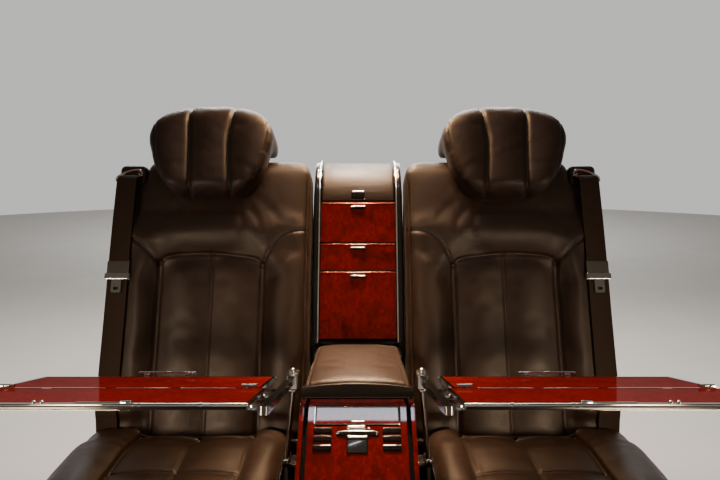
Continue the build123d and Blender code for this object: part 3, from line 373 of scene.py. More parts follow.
def dress_nodes():
    """Gives each CAD node its finish and small rounded edges."""
    soft_edges = {"floor_beams": 2.0, "seat_rails": 1.5, "seat_uprights": 1.5, "table_pockets": 1.2,
                  "upper_flap": 1.2, "drawer": 1.2, "lower_door": 1.2, "fascia_controls": 0.8,
                  "fascia_flap": 0.9, "fascia_panel": 0.8, "fascia_wings": 1.6, "armrest_base": 1.5,
                  "table_front": 0.5, "table_rear": 0.5, "table_front_rail": 0.9, "table_rear_rail": 0.9,
                  "table_arms": 1.6, "table_posts": 0.6, "stack_trim": 2.0, "stack_sides": 1.0}
    for name, node in nodes.items():
        kind = name.removeprefix("left_").removeprefix("right_")
        finish = NODE_MATERIALS[kind]
        for slot in node.material_slots:
            slot.link = "OBJECT"
            slot.material = finish
        if kind in soft_edges:
            edge = node.modifiers.new("edges", "BEVEL")
            edge.width = soft_edges[kind] * MM
            edge.segments = 3
            edge.limit_method = "ANGLE"
            edge.angle_limit = radians(40)
            edge.harden_normals = True


# Soft goods. Each is worked in its group's own frame: the front looks along -Y on the
# backrests and the stack, and along +Z on the cushions and the armrest.
FRONT = ((0, 2), 1, -1.0)      # plane of the seams, the axis they face along, and its way
TOP = ((0, 1), 2, 1.0)


def coords(mesh):
    flat = np.empty(len(mesh.vertices) * 3)
    mesh.vertices.foreach_get("co", flat)
    return flat.reshape(-1, 3)


def set_coords(mesh, places):
    mesh.vertices.foreach_set("co", np.ascontiguousarray(places).ravel())
    mesh.update()


def normals(mesh):
    flat = np.empty(len(mesh.vertices) * 3)
    mesh.vertex_normals.foreach_get("vector", flat)
    return flat.reshape(-1, 3)


def ease(value, low, high):
    """0 below low, 1 above high, and smooth between them."""
    t = np.clip((value - low) / (high - low), 0, 1)
    return t * t * (3 - 2 * t)


def hump(value, half, power=1):
    """1 at 0, falling along a cosine to 0 at half on both sides."""
    return np.cos(np.clip(value / half, -1, 1) * pi / 2) ** power


def bell(value, width):
    return np.exp(-(value / width) ** 2)


def through(points, per=8, closed=False):
    """A smooth line through a few points, each a tuple of millimetres."""
    p = np.array(points, float)
    if len(p) < 3:
        return p
    before = p[-1:] if closed else 2 * p[:1] - p[1:2]
    after = p[:2] if closed else 2 * p[-1:] - p[-2:-1]
    q = np.vstack([before, p, after])
    rows = []
    for i in range(1, len(q) - 2):
        for t in np.arange(per) / per:
            a, b, c, d = q[i - 1:i + 3]
            rows.append(0.5 * (2 * b + (c - a) * t + (2 * a - 5 * b + 4 * c - d) * t * t
                               + (3 * b - a - 3 * c + d) * t ** 3))
    return np.array(rows if closed else rows + [p[-1]])


def line_distance(points, line):
    """Distance of each 2-D point to a line of points."""
    best = np.full(len(points), 1e9)
    for a, b in zip(line[:-1], line[1:]):
        along = b - a
        t = np.clip(((points - a) @ along) / max(along @ along, 1e-12), 0, 1)
        best = np.minimum(best, np.linalg.norm(points - a - t[:, None] * along, axis=1))
    return best


def settle(piece):
    """Makes the modifiers of a piece part of its mesh."""
    graph = bpy.context.evaluated_depsgraph_get()
    made = bpy.data.meshes.new_from_object(piece.evaluated_get(graph))
    piece.modifiers.clear()
    piece.data = made


class Pad:
    """A padded piece: an even mesh of a CAD solid, shaped, puffed, sewn and finished."""

    def __init__(self, node, frame, voxel, soften=4, facing=FRONT):
        self.frame = frame
        self.plane, self.axis, self.way = facing
        mesh = nodes[node].data.copy()
        mesh.materials.clear()
        mesh.transform(frame.inverted() @ nodes[node].matrix_world)
        self.piece = bpy.data.objects.new("pad", mesh)
        bpy.context.scene.collection.objects.link(self.piece)
        even = self.piece.modifiers.new("even", "REMESH")
        even.mode = "VOXEL"
        even.voxel_size = voxel * MM
        even.use_smooth_shade = True
        soft = self.piece.modifiers.new("soften", "SMOOTH")
        soft.factor = 0.5
        soft.iterations = soften
        settle(self.piece)

    def facing(self):
        """1 where the surface looks the way that the seams are seen from, else 0."""
        return ease(normals(self.piece.data)[:, self.axis] * self.way, 0.15, 0.55)

    def flat(self, places):
        return places[:, self.plane] / MM

    def shape(self, rule):
        """rule gives the move out of the face in mm, for the plane's two coordinates in mm."""
        places = coords(self.piece.data)
        u, v = self.flat(places).T
        places[:, self.axis] += self.way * rule(u, v) * self.facing() * MM
        set_coords(self.piece.data, places)

    def inflate(self, seams, free, pressure, slack, cap):
        """Cloth under pressure, sewn down along the seams and held where free is 0."""
        mesh = self.piece.data
        start = coords(mesh)
        loose = free(start / MM) * np.ones(len(start))
        front = self.facing()
        for line in seams:
            near = line_distance(self.flat(start), line)
            loose = np.where(front > 0.05, np.minimum(loose, ease(near, 3.0, 9.0)), loose)
        group = self.piece.vertex_groups.new(name="sewn")
        for step in range(11):
            held = np.nonzero(np.round((1 - loose) * 10) == step)[0]
            if step:
                group.add(held.tolist(), step / 10, "REPLACE")
        cloth = self.piece.modifiers.new("cloth", "CLOTH")
        facts = cloth.settings
        facts.quality = 4
        facts.mass = 0.25
        facts.tension_stiffness = facts.compression_stiffness = 22
        facts.shear_stiffness = 12
        facts.bending_stiffness = 6.0
        facts.air_damping = 2.0
        facts.use_pressure = True
        facts.uniform_pressure_force = pressure
        facts.shrink_min = facts.shrink_max = -slack
        facts.vertex_group_mass = "sewn"
        facts.pin_stiffness = 4.0
        facts.effector_weights.gravity = 0
        scene = bpy.context.scene
        for frame_now in range(1, CLOTH_FRAMES + 1):
            scene.frame_set(frame_now)
        graph = bpy.context.evaluated_depsgraph_get()
        moved = coords(self.piece.evaluated_get(graph).to_mesh()) - start
        self.piece.evaluated_get(graph).to_mesh_clear()
        scene.frame_set(1)
        self.piece.modifiers.clear()
        far = np.linalg.norm(moved, axis=1, keepdims=True) / MM
        moved *= cap * np.tanh(far / cap) / np.maximum(far, 1e-6)
        set_coords(mesh, start + moved * np.minimum(1, loose * 3)[:, None])
        calm = self.piece.modifiers.new("calm", "SMOOTH")
        calm.factor = 0.5
        calm.iterations = 14
        settle(self.piece)

    def refine(self):
        fine = self.piece.modifiers.new("fine", "SUBSURF")
        fine.levels = fine.render_levels = 1
        settle(self.piece)

    def sew(self, seams, depth=3.5, width=3.2):
        """Pulls the surface in along each seam."""
        places = coords(self.piece.data)
        out = normals(self.piece.data)
        pull = np.zeros(len(places))
        for line in seams:
            near = line_distance(self.flat(places), line)
            pull = np.maximum(pull, bell(near, width))
        set_coords(self.piece.data, places - out * (pull * self.facing() * depth * MM)[:, None])

    def crease(self, rows):
        """Long soft folds: each row is a line, a depth and a half width in mm."""
        places = coords(self.piece.data)
        out = normals(self.piece.data)
        flat = self.flat(places)
        move = np.zeros(len(places))
        for points, depth, width in rows:
            line = through(points)
            near = line_distance(flat, line)
            ends = np.linalg.norm(flat - line[0], axis=1), np.linalg.norm(flat - line[-1], axis=1)
            fade = ease(np.minimum(*ends), 0.0, 2.2 * width)
            move += fade * 0.62 * depth * (0.35 * bell(near - 1.9 * width, width) - bell(near, width))
        set_coords(self.piece.data, places + out * (move * self.facing() * MM)[:, None])

    def surface(self):
        mesh = self.piece.data
        return BVHTree.FromPolygons([v.co for v in mesh.vertices], [list(p.vertices) for p in mesh.polygons])

    def on_surface(self, tree, u, v):
        """The point and normal of the surface seen at (u, v) from in front."""
        start, look = Vector((0, 0, 0)), Vector((0, 0, 0))
        start[self.plane[0]], start[self.plane[1]] = u * MM, v * MM
        start[self.axis] = self.way * 1.0
        look[self.axis] = -self.way
        return tree.ray_cast(start, look)[:2]

    def stitches(self, seams, offsets=(-4.2, 4.2), pitch=5.4, length=3.6, thick=0.55):
        """Short thread stitches in rows beside the seams."""
        tree = self.surface()
        made = Shape()
        for line in seams:
            for offset in offsets:
                row = beside(line, offset)
                steps = np.linalg.norm(np.diff(row, axis=0), axis=1)
                reach = np.concatenate([[0], np.cumsum(steps)])
                for at in np.arange(pitch, reach[-1] - pitch, pitch):
                    ends = []
                    for s in (at - length / 2, at, at + length / 2):
                        ends.append(self.on_surface(tree, np.interp(s, reach, row[:, 0]),
                                                    np.interp(s, reach, row[:, 1])))
                    if any(place is None for place, way in ends):
                        continue
                    if (ends[0][0] - ends[2][0]).length > 2 * length * MM:
                        continue
                    path = [place / MM + way * lift for (place, way), lift in zip(ends, (-0.3, 0.45, -0.3))]
                    made.tube(path, thick, 5)
        return made

    def finish(self, name, body, node, material, slot, fill, mirrored=False):
        place(self.piece, name, self.frame, mirrored)
        put_on(self.piece, body, material)
        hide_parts(node)
        return self.piece

    def twin(self):
        """A copy for the other seat."""
        other = Pad.__new__(Pad)
        other.frame, other.plane, other.axis, other.way = self.frame, self.plane, self.axis, self.way
        other.piece = self.piece.copy()
        other.piece.data = self.piece.data.copy()
        bpy.context.scene.collection.objects.link(other.piece)
        return other


def make_side(name, mirrored, frame, rows):
    """Makes one side's pieces. A row is a name, shape, body, material, slot and any replaced node."""
    for ending, shape, holder, material, slot, *replaced in rows:
        body = holder if holder == "console_body" else f"{name}_{holder}"
        shape.make(f"{name}_{ending}", frame, body, material, slot,
                   [f"{name}_{node}" for node in replaced], mirrored)


def make_both(frame, rows):
    for name, mirrored in SIDES:
        make_side(name, mirrored, frame, rows)


def fit_both(pad, frame, body, kind, node, fill, rows):
    """Finishes a pad for both seats, with the pieces that go with it."""
    for name, mirrored in SIDES:
        pad.twin().finish(f"{name}_{kind}", f"{name}_{body}", f"{name}_{node}", LEATHER, "leather",
                          fill, mirrored)
        make_side(name, mirrored, frame, rows)
    bpy.data.objects.remove(pad.piece, do_unlink=True)


def beside(line, offset):
    """The line moved sideways by offset."""
    along = np.gradient(line, axis=0)
    along /= np.maximum(np.linalg.norm(along, axis=1, keepdims=True), 1e-9)
    return line + offset * np.stack([-along[:, 1], along[:, 0]], axis=1)


def place(piece, name, frame, mirrored):
    """Puts a mesh that was made in a group's frame into the unit's frame, or its mirror image."""
    piece.name = piece.data.name = name
    piece.data.transform(frame)
    if mirrored:
        piece.data.transform(Matrix.Scale(-1, 4, (1, 0, 0)))
        piece.data.flip_normals()


def put_on(piece, body, material):
    piece.data.materials.clear()
    piece.data.materials.append(material)
    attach(piece, body)


class Shape:
    """Vertices and faces of a modelled piece, in millimetres of its group's frame."""

    def __init__(self):
        self.points, self.faces = [], []

    def add(self, points, faces):
        base = len(self.points)
        self.points += [Vector(p) for p in points]
        self.faces += [[base + i for i in face] for face in faces]

    def skin(self, points, sides, closed=False):
        """Joins rings of points, each with as many sides, and caps the ends of an open row."""
        count = len(points) // sides
        faces = []
        for i in range(count if closed else count - 1):
            j = (i + 1) % count
            for k in range(sides):
                m = (k + 1) % sides
                faces.append([i * sides + k, i * sides + m, j * sides + m, j * sides + k])
        if not closed:
            faces.append(list(range(sides))[::-1])
            faces.append([(count - 1) * sides + k for k in range(sides)])
        self.add(points, faces)

    def tube(self, path, radius, sides=12, closed=False):
        """A round tube along a path; radius is a number, or one for each point."""
        path = [Vector(p) for p in path]
        count = len(path)
        radii = [radius] * count if isinstance(radius, (int, float)) else list(radius)
        points, side = [], None
        for i, point in enumerate(path):
            before = path[i - 1] if i or closed else path[0]
            after = path[(i + 1) % count] if i < count - 1 or closed else path[-1]
            along = (after - before).normalized()
            if side is None:
                side = along.orthogonal().normalized()
            side = (side - along * side.dot(along)).normalized()
            up = along.cross(side)
            for k in range(sides):
                a = 2 * pi * k / sides
                points.append(point + (side * cos(a) + up * sin(a)) * radii[i])
        self.skin(points, sides, closed)

    def ribbon(self, path, across, profile):
        """A flat strip: profile is (offset across, offset out) rows, closed, at each point."""
        path = [Vector(p) for p in path]
        across = Vector(across).normalized()
        points = []
        for i, point in enumerate(path):
            along = (path[min(i + 1, len(path) - 1)] - path[max(i - 1, 0)]).normalized()
            out = across.cross(along)
            points += [point + across * a + out * b for a, b in profile]
        self.skin(points, len(profile))

    def slab(self, outline, low, high, round_edge, axis=1, rings=4):
        """A plate from an outline in the other two axes, with rounded edges on both faces."""
        outline = np.array(outline, float)
        rows = []
        turns = [pi / 2 * i / (rings - 1) for i in range(rings)]
        for i in range(rings):
            rows.append((round_edge * (1 - sin(turns[i])), low + round_edge * (1 - cos(turns[i]))))
        for i in range(rings - 1, -1, -1):
            rows.append((round_edge * (1 - sin(turns[i])), high - round_edge * (1 - cos(turns[i]))))
        other = [k for k in range(3) if k != axis]
        points = []
        for inset, level in rows:
            ring = beside(np.vstack([outline[-1:], outline, outline[:1]]), inset)[1:-1]
            for a, b in ring:
                p = [0, 0, 0]
                p[other[0]], p[other[1]], p[axis] = a, b, level
                points.append(p)
        self.skin(points, len(outline))

    def ball(self, centre, radius, rings=10, sides=16):
        path = [(centre[0], centre[1], centre[2] + radius * -cos(pi * i / rings)) for i in range(rings + 1)]
        radii = [max(radius * sin(pi * i / rings), 0.01) for i in range(rings + 1)]
        self.tube(path, radii, sides)

    def make(self, name, frame, body, material, slot, replaces=(), mirrored=False):
        mesh = bpy.data.meshes.new(name)
        mesh.from_pydata([p * MM for p in self.points], [], self.faces)
        tidy = bmesh.new()
        tidy.from_mesh(mesh)
        bmesh.ops.recalc_face_normals(tidy, faces=tidy.faces)
        tidy.to_mesh(mesh)
        tidy.free()
        piece = bpy.data.objects.new(name, mesh)
        bpy.context.scene.collection.objects.link(piece)
        place(piece, name, frame, mirrored)
        mesh.shade_smooth()
        mesh.set_sharp_from_angle(angle=radians(SHARP_EDGE))
        put_on(piece, body, material)
        if replaces:
            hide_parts(*replaces)
        return piece


def wave(u, v, seed, scale):
    """Uneven soft hills, the same each run."""
    turn = np.random.default_rng(seed)
    total = np.zeros_like(u)
    for _ in range(7):
        angle, phase, size = turn.uniform(0, pi), turn.uniform(0, 2 * pi), turn.uniform(0.6, 1.7)
        total += np.sin((u * cos(angle) + v * sin(angle)) / (scale * size) + phase)
    return total / 7


def make_backrests():
    """Sunk sewn panel of two channels, with bolsters and a yoke round it."""
    pad = Pad("left_backrest_pad", BACK, 7.0, 9)
    middle = through([(-5, -42), (-5.5, 200), (-6, 401)])
    frame_line = through([(-125, -42), (-125, 200), (-125, 372)])
    outer_line = through([(117, -42), (117, 200), (117.5, 378)])
    arch = through([(-125, 372), (-108, 388), (-53, 397), (-6, 401), (54, 400), (100, 393), (117.5, 378)])
    inner_t = through([(-125, 372), (-141, 404), (-165, 436), (-193, 453), (-231, 458)])
    outer_t = through([(117.5, 378), (146, 408), (178, 433), (208, 440)])
    seams = [middle, frame_line, outer_line, arch, inner_t, outer_t]

    def crown(u, v):
        panel = ease(u, -125, -96) * ease(-u, -117, -88) * ease(-v, -400, -360) * ease(v, -34, 6)
        channel = hump(np.abs(u + 5) - 57, 60, 0.7)
        yoke = ease(v, 400, 446) * ease(-v, -596, -466)
        bolster = np.maximum(ease(u, 122, 150) * ease(-u, -184, -160), ease(-u, 130, 166))
        bolster *= ease(v, -34, 6) * ease(-v, -440, -380)
        broad = wave(u, v, 3, 34)
        valley = bell(np.abs(u + 4) - 137, 17) * ease(v, -34, 6) * ease(-v, -392, -330)
        return 8.5 * panel * channel + 4.0 * yoke + 5.0 * bolster - 10.0 * valley + 0.3 * broad

    pad.shape(crown)
    pad.inflate(seams,
                lambda p: ease(-p[:, 1], -46, -8) * ease(p[:, 2], -24, 10) * ease(-p[:, 0], -186, -166),
                pressure=4.5, slack=0.006, cap=13.0)
    pad.refine()
    pad.sew([middle], 4.5, 3.4)
    pad.sew([frame_line, outer_line], 6.0, 5.2)
    pad.sew([arch, inner_t, outer_t], 4.0, 3.6)
    pad.crease([([(-60, 512), (-74, 480), (-78, 446)], 1.6, 7.0),
                ([(-84, 520), (-112, 482), (-120, 446)], 1.9, 8.0),
                ([(-108, 540), (-150, 500), (-166, 468)], 1.3, 9.0),
                ([(80, 520), (112, 486), (126, 452)], 1.3, 9.0),
                ([(-216, 420), (-186, 392), (-150, 380)], 1.0, 8.0),
                ([(-210, 80), (-176, 66), (-136, 80)], 1.4, 8.0),
                ([(180, 90), (160, 74), (128, 84)], 1.4, 8.0),
                ([(-112, 60), (-64, 74), (-14, 62)], 1.0, 8.0),
                ([(4, 64), (54, 78), (104, 62)], 1.0, 8.0)])
    threads = pad.stitches(seams)
    piping = Shape()
    tree = pad.surface()
    row = []
    for v in range(-16, 590, 12):
        spot, way = pad.on_surface(tree, -227.5, v)
        if spot is not None:
            row.append(spot / MM + way * 1.2)
    piping.tube(row, 2.6, 8)
    sides = Shape()
    sides.slab([(46, -18), (112, -18), (112, 430), (96, 520), (70, 560), (46, 520)],
               -236.4, -226, 3.0, axis=0)
    fit_both(pad, BACK, "backrest_body", "backrest", "backrest_pad", 0.85,
             [("backrest_side", sides, "backrest_body", LEATHER, "leather"),
              ("backrest_stitches", threads, "backrest_body", THREAD, "leather"),
              ("backrest_piping", piping, "backrest_body", LEATHER, "leather")])


def make_headrests():
    """A wide pillow with a sewn middle channel, and the guides that its posts go into."""
    pad = Pad("left_headrest", BACK, 5.0, 12)
    inner = through([(-50, 802), (-51, 741), (-43, 676), (-46, 612), (-50, 568), (-53, 512)])
    outer = through([(54, 802), (54, 729), (48, 638), (45, 592), (43, 557), (42, 512)])
    sides = [through([(-136, 772), (-136, 718), (-129, 645), (-109, 572)]),
             through([(136, 772), (136, 718), (129, 645), (109, 572)])]

    def crown(u, v):
        half = 149 - 0.0018 * np.clip(704 - v, 0, 200) ** 2
        channel = hump(u, 52, 0.8)
        wings = np.sin(np.clip((np.abs(u) - 50) / np.maximum(half - 50, 20), 0, 1) * pi) ** 0.8
        fade = ease(v, 524, 566) * ease(-v, -770, -716)
        return (5.5 * channel + 8.5 * wings) * fade + 0.25 * wave(u, v, 8, 34)

    pad.shape(crown)
    places = coords(pad.piece.data)
    fall = 30 * ease(places[:, 2], 0.640, 0.775) * np.abs(places[:, 0] / 0.140) ** 2.4
    places[:, 2] -= fall * MM
    set_coords(pad.piece.data, places)
    pad.inflate([inner, outer], lambda p: ease(-p[:, 1], -44, -20), pressure=4.5, slack=0.003, cap=9.0)
    pad.refine()
    pad.sew([inner, outer], 4.4, 6.4)
    pad.sew([inner, outer], 3.0, 2.4)
    pad.sew(sides, 1.8, 2.4)
    pad.crease([([(-112, 580), (-86, 600), (-62, 604)], 0.9, 8.0),
                ([(112, 584), (86, 602), (60, 602)], 0.9, 8.0)])
    threads = pad.stitches([inner, outer])
    threads_side = pad.stitches(sides, offsets=(3.4,))
    guides = Shape()
    for x in (-60, 60):
        ring = [(x + 11.5 * cos(2 * pi * i / 24), 20 + 11.5 * sin(2 * pi * i / 24)) for i in range(24)]
        guides.slab(ring, 643.0, 650.0, 1.6, axis=2)
    fit_both(pad, BACK, "headrest_body", "head_pillow", "headrest", 0.9,
             [("headrest_stitches", threads, "headrest_body", THREAD, "leather"),
              ("headrest_side_stitches", threads_side, "headrest_body", THREAD, "leather"),
              ("post_guides", guides, "backrest_body", BLACK, "black_plastic")])


def make_cushions():
    """Two sewn channels with two cross seams, between puffed bolsters."""
    seat = Matrix.Translation((SEAT_X, 0, 0))
    pad = Pad("left_cushion", seat, 6.5, 9, TOP)
    inner = through([(-124, -366), (-124, -150), (-124, 122)])
    outer = through([(124, -366), (124, -150), (124, 122)])
    middle = through([(-2, -366), (-2, -150), (-2, 122)])
    cross = through([(-124, -58), (-60, -53), (0, -52), (60, -53), (124, -58)])
    front = through([(-124, -262), (-60, -256), (0, -255), (60, -256), (124, -262)])
    seams = [inner, outer, middle, cross, front]

    def crown(u, v):
        panel = ease(u, -124, -98) * ease(-u, -124, -98)
        channel = hump(np.abs(u + 2) - 61, 62, 0.7)
        blocks = 1 - 0.55 * bell(v + 54, 26) - 0.55 * bell(v + 257, 26)
        bolster = np.maximum(ease(u, 128, 168), ease(-u, 128, 160))
        rear = panel * 24 * ease(v, 24, 118) + (1 - panel) * 15 * ease(v, 20, 112)
        return 8.0 * panel * channel * blocks + 4.0 * bolster + 0.5 * wave(u, v, 5, 36) - rear

    pad.shape(crown)
    pad.inflate(seams, lambda p: ease(p[:, 2], 290, 345) * ease(-p[:, 1], -140, -100), pressure=4.5,
                slack=0.006, cap=14.0)
    pad.refine()
    pad.sew([inner, outer], 6.5, 5.0)
    pad.sew([middle, cross, front], 4.5, 3.6)
    pad.crease([([(132, 64), (170, 76), (214, 60)], 2.2, 8.0),
                ([(130, 38), (166, 42), (206, 24)], 1.8, 8.0),
                ([(-132, 68), (-160, 76), (-186, 64)], 1.6, 7.0),
                ([(-118, 50), (-66, 42), (-12, 54)], 1.1, 8.0),
                ([(10, 52), (62, 40), (116, 52)], 1.1, 8.0),
                ([(-116, -96), (-62, -88), (-8, -98)], 0.9, 9.0),
                ([(10, -104), (64, -94), (118, -104)], 0.9, 9.0)])
    threads = pad.stitches(seams)
    fit_both(pad, seat, "cushion_body", "seat_cushion", "cushion", 0.85,
             [("cushion_stitches", threads, "cushion_body", THREAD, "leather")])


def make_leg_rests():
    """A padded panel of two channels."""
    seat = Matrix.Translation((LEG_REST_X, 0, 0))
    pad = Pad("left_leg_rest_pad", seat, 7.0, 4)
    middle = through([(0, 60), (0, 160), (0, 262)])
    border = [through([(-168, 60), (-168, 260)]), through([(168, 60), (168, 260)]),
              through([(-168, 228), (168, 228)])]

    def crown(u, v):
        side = hump(np.abs(u) - 84, 86, 0.7)
        return 4.0 * side * ease(v, 66, 96) * ease(-v, -232, -206) + 0.7 * wave(u, v, 9, 30)

    pad.shape(crown)
    pad.inflate([middle, *border], lambda p: ease(-p[:, 1], 332, 352), pressure=4.0, slack=0.004, cap=6.0)
    pad.refine()
    pad.sew([middle, *border], 3.2, 3.4)
    threads = pad.stitches([middle, *border])
    fit_both(pad, seat, "leg_rest_body", "leg_rest", "leg_rest_pad", 0.9,
             [("leg_rest_stitches", threads, "leg_rest_body", THREAD, "leather")])


def make_armrest_pad():
    """A crowned pad with a seam just inside its long edges."""
    pad = Pad("armrest_pad", UNIT, 4.5, 6, TOP)
    places = coords(pad.piece.data)
    places[:, 0] *= 1.065 - 0.02 * ease(places[:, 1], 0.0, 0.2)
    places[:, 1] -= 0.0115 * ease(-places[:, 1], -0.060, 0.010)
    set_coords(pad.piece.data, places)
    sides = [through([(way * 95, -25), (way * 92, 110), (way * 87, 206)]) for way in (-1, 1)]

    def crown(u, v):
        return 1.6 * hump(u, 98) * ease(v, -10, 30) * ease(-v, -224, -180) + 0.5 * wave(u, v, 12, 40)

    pad.shape(crown)
    pad.inflate(sides, lambda p: ease(p[:, 2], 530, 556), pressure=3.0, slack=0.003, cap=2.6)
    pad.refine()
    pad.sew(sides, 2.2, 2.2)
    threads = pad.stitches(sides, offsets=(3.4,))
    threads.make("armrest_stitches", UNIT, "armrest_body", THREAD, "leather")
    pad.finish("armrest_cushion", "armrest_body", "armrest_pad", LEATHER, "leather", 0.95)


def make_lid_leather():
    """The stack's rolled lid, tightly covered in leather."""
    pad = Pad("stack_lid", STACK, 4.5, 3)

    def crown(u, v):
        return 1.2 * hump(u, 84, 0.6) + 0.5 * wave(u, v, 14, 30)

    pad.shape(crown)
    pad.refine()
    pad.finish("lid_leather", "stack_lid_body", "stack_lid", LEATHER, "leather", 1.0)


def rounded(half_u, half_v, radius, centre=(0, 0), per=6):
    """Outline of a rectangle with round corners."""
    rows = []
    for way_u, way_v, start in ((1, -1, -90), (1, 1, 0), (-1, 1, 90), (-1, -1, 180)):
        for i in range(per + 1):
            a = radians(start + 90 * i / per)
            rows.append((centre[0] + way_u * (half_u - radius) + radius * cos(a),
                         centre[1] + way_v * (half_v - radius) + radius * sin(a)))
    return rows


def make_stack_details():
    """Top edge of each front in a red metal that paints a highlight along the lacquered edge, bar, a black
    finger cup that paints the shadow under the bar, strips up both sides, and the lid's latch.
    """
    for name, high in (("upper_flap", 337.0), ("drawer", 232.0), ("lower_door", 162.0)):
        body = f"{name}_body"
        edge = Shape()
        # the edge's bright red metal is a painted highlight on the lacquered edge
        edge.slab(rounded(91.6, 0.9, 0.8, (0, high - 0.9)), -1.2, 3.0, 0.5)
        edge.make(f"{name}_edge", STACK, body, VARNISH_HIGHLIGHT, "burr_wood")
        made = Shape()
        made.slab(rounded(17.6, 1.4, 1.2, (0, high - 10.4)), -6.2, -1.0, 1.0)
        made.make(f"{name}_chrome", STACK, body, POLISH, "chrome")
        # the black cup is painted shadow under the pull bar
        cup = Shape()
        cup.slab(through([(17.8, high - 9.0), (-17.8, high - 9.0), (-17.2, high - 13.6), (-14, high - 16.0),
                          (14, high - 16.0), (17.2, high - 13.6)], 5, closed=True), -2.6, 0.6, 0.6)
        cup.make(f"{name}_finger_cup_shadow", STACK, body, SATIN, "black_gloss")
    shoulder, radius, rear = 357, 128, 149      # where the lid's roll starts, its radius, and its end
    strip_x, strip_y, lift = 95.6, -4.9, 0.9    # the strip lies a little higher over the roll
    strips = Shape()
    for way in (-1, 1):
        rise = [(0, z) for z in np.linspace(-8, shoulder, 40)]
        roll = [(radius - radius * cos(a), shoulder + radius * sin(a))
                for a in np.linspace(0, pi / 2, 36)[1:]]
        tail = [(y, shoulder + radius) for y in np.linspace(130, rear, 4)]
        path = [(way * strip_x, strip_y + y, z) for y, z in rise]
        path += [(way * strip_x, strip_y + y, z + lift) for y, z in roll + tail]
        strips.ribbon(path, (1, 0, 0), [(-1.5, -0.9), (-0.9, -1.5), (0.9, -1.5), (1.5, -0.9), (1.5, 1.2),
                                        (-1.5, 1.2)])
    strips.make("stack_chrome_strips", STACK, "console_body", POLISH, "chrome")
    trims = Shape()
    for way in (-1, 1):
        rise = [(-4, z) for z in np.linspace(-10, shoulder, 40)]
        roll = [(124 - radius * cos(a), shoulder + radius * sin(a))
                for a in np.linspace(0, pi / 2, 48)[1:]]
        tail = [(y, shoulder + radius) for y in np.linspace(124, rear, 4)[1:]]
        trims.ribbon([(way * 103.0, y, z) for y, z in rise + roll + tail], (1, 0, 0),
                     [(-5.9, -9.6), (-5.9, -1.8), (-5.4, -0.6), (-4.2, 0), (4.2, 0), (5.4, -0.6), (5.9, -1.8),
                      (5.9, -9.6)])
    trims.make("stack_trim_strips", STACK, "console_body", GLOSS, "black_gloss", replaces=("stack_trim",))
    latch = Shape()
    latch.slab(rounded(15.6, 2.4, 2.0, (0, 365.2)), -5.6, 3.0, 1.6)
    latch.tube([(x, -1.6, z) for x, z in rounded(17.4, 8.4, 3.6, (0, 354.4))], 0.7, 8, closed=True)
    latch.make("lid_latch", STACK, "stack_lid_body", CHROME, "chrome", replaces=("stack_latch",))
    window = Shape()
    window.slab(rounded(16.8, 9.6, 3.6, (0, 356.0)), -2.2, 6.0, 1.0)
    window.slab(rounded(14.4, 5.6, 2.4, (0, 353.4)), -4.0, 0, 0.8)
    window.make("lid_latch_window", STACK, "stack_lid_body", SATIN, "black_gloss")


def make_fascia_details():
    """Dark gap and thin bright line round the flap, black keys, display and grip."""
    gap = Shape()
    gap.tube([(x, y, -0.2) for x, y in rounded(78.4, 17.4, 1.6, (0, -26.0))], 0.7, 8, closed=True)
    gap.make("flap_gap", FASCIA, "console_body", BLACK, "black_plastic")
    edge = Shape()
    corners = rounded(80.6, 18.2, 2.4, (0, -25.6))
    edge.tube([(x, y, 0.1) for x, y in corners], 0.6, 8, closed=True)
    edge.make("flap_frame", FASCIA, "console_body", CHROME, "chrome")
    pull = Shape()
    pull.slab(rounded(13, 1.3, 1.2, (0, -38.6)), -0.4, 2.0, 0.9, axis=2)
    pull.make("flap_pull", FASCIA, "fascia_flap_body", CHROME, "chrome")
    keys, lines, edges = Shape(), Shape(), Shape()
    for way in (-1, 1):
        for t in (57.0, 72.5, 90.0):
            for x in (55.6, 72.4):
                keys.slab(rounded(8.2, 5.0, 1.2, (way * x, -t)), -0.5, 3.0, 0.9, axis=2)
            keys.slab(rounded(17.4, 5.6, 1.6, (way * 64, -t)), -0.5, 1.2, 0.5, axis=2)
            edges.tube([(way * 64 + x, -t + 5.0, 2.7) for x in (-16, -5.4, 5.4, 16)], 0.26, 8)
            for x in (-15.2, 15.2):
                lines.ball((way * 64 + x, -t + 4.6, 2.6), 0.8, 6, 8)
    screen = Shape()
    screen.slab(rounded(19.6, 16.0, 2.4, (0, -84.5)), -0.5, 2.0, 0.9, axis=2)
    keys.add(screen.points, screen.faces)
    keys.slab(rounded(39.0, 5.0, 3.0, (0, -62.6)), -0.5, 0.9, 0.4, axis=2)
    keys.make("keys_and_display", FASCIA, "console_body", SATIN, "black_gloss",
              replaces=("fascia_controls",))
    lines.slab(rounded(18.6, 2.2, 1.9, (0, -69.6)), 0.2, 4.6, 1.9, axis=2)
    lines.slab(rounded(17.6, 4.4, 3.6, (-2, -51.4)), -0.4, 4.4, 2.6, axis=2)
    lines.ball((22, -52.6, 1.6), 2.4, 8, 12)
    lines.make("key_lines", FASCIA, "console_body", POLISH, "chrome")
    edges.make("key_edges", FASCIA, "console_body", CHROME, "chrome")
    glass = Shape()
    glass.slab(rounded(17.4, 12.0, 1.6, (0, -86.4)), 1.6, 2.3, 0.3, axis=2)
    glass.make("display_glass", FASCIA, "console_body", GLASS, "black_gloss")
    grip = Shape()
    line = [(-37, -59.4, 0.3), (-36, -59.4, 3.0), (-33, -59.4, 4.2), (-24, -59.4, 4.7), (0, -59.4, 4.9),
            (24, -59.4, 4.7), (33, -59.4, 4.2), (36, -59.4, 3.0), (37, -59.4, 0.3)]
    grip.tube(through(line, 5), 1.3, 12)
    for way in (-1, 1):
        grip.slab(rounded(2.6, 2.4, 2.0, (way * 37, -60.6)), -0.4, 1.8, 0.8, axis=2)
        grip.ball((way * 15, -64.0, 1.2), 1.1, 6, 8)
    grip.make("fascia_grip_bar", FASCIA, "console_body", CHROME, "chrome", replaces=("fascia_grip",))


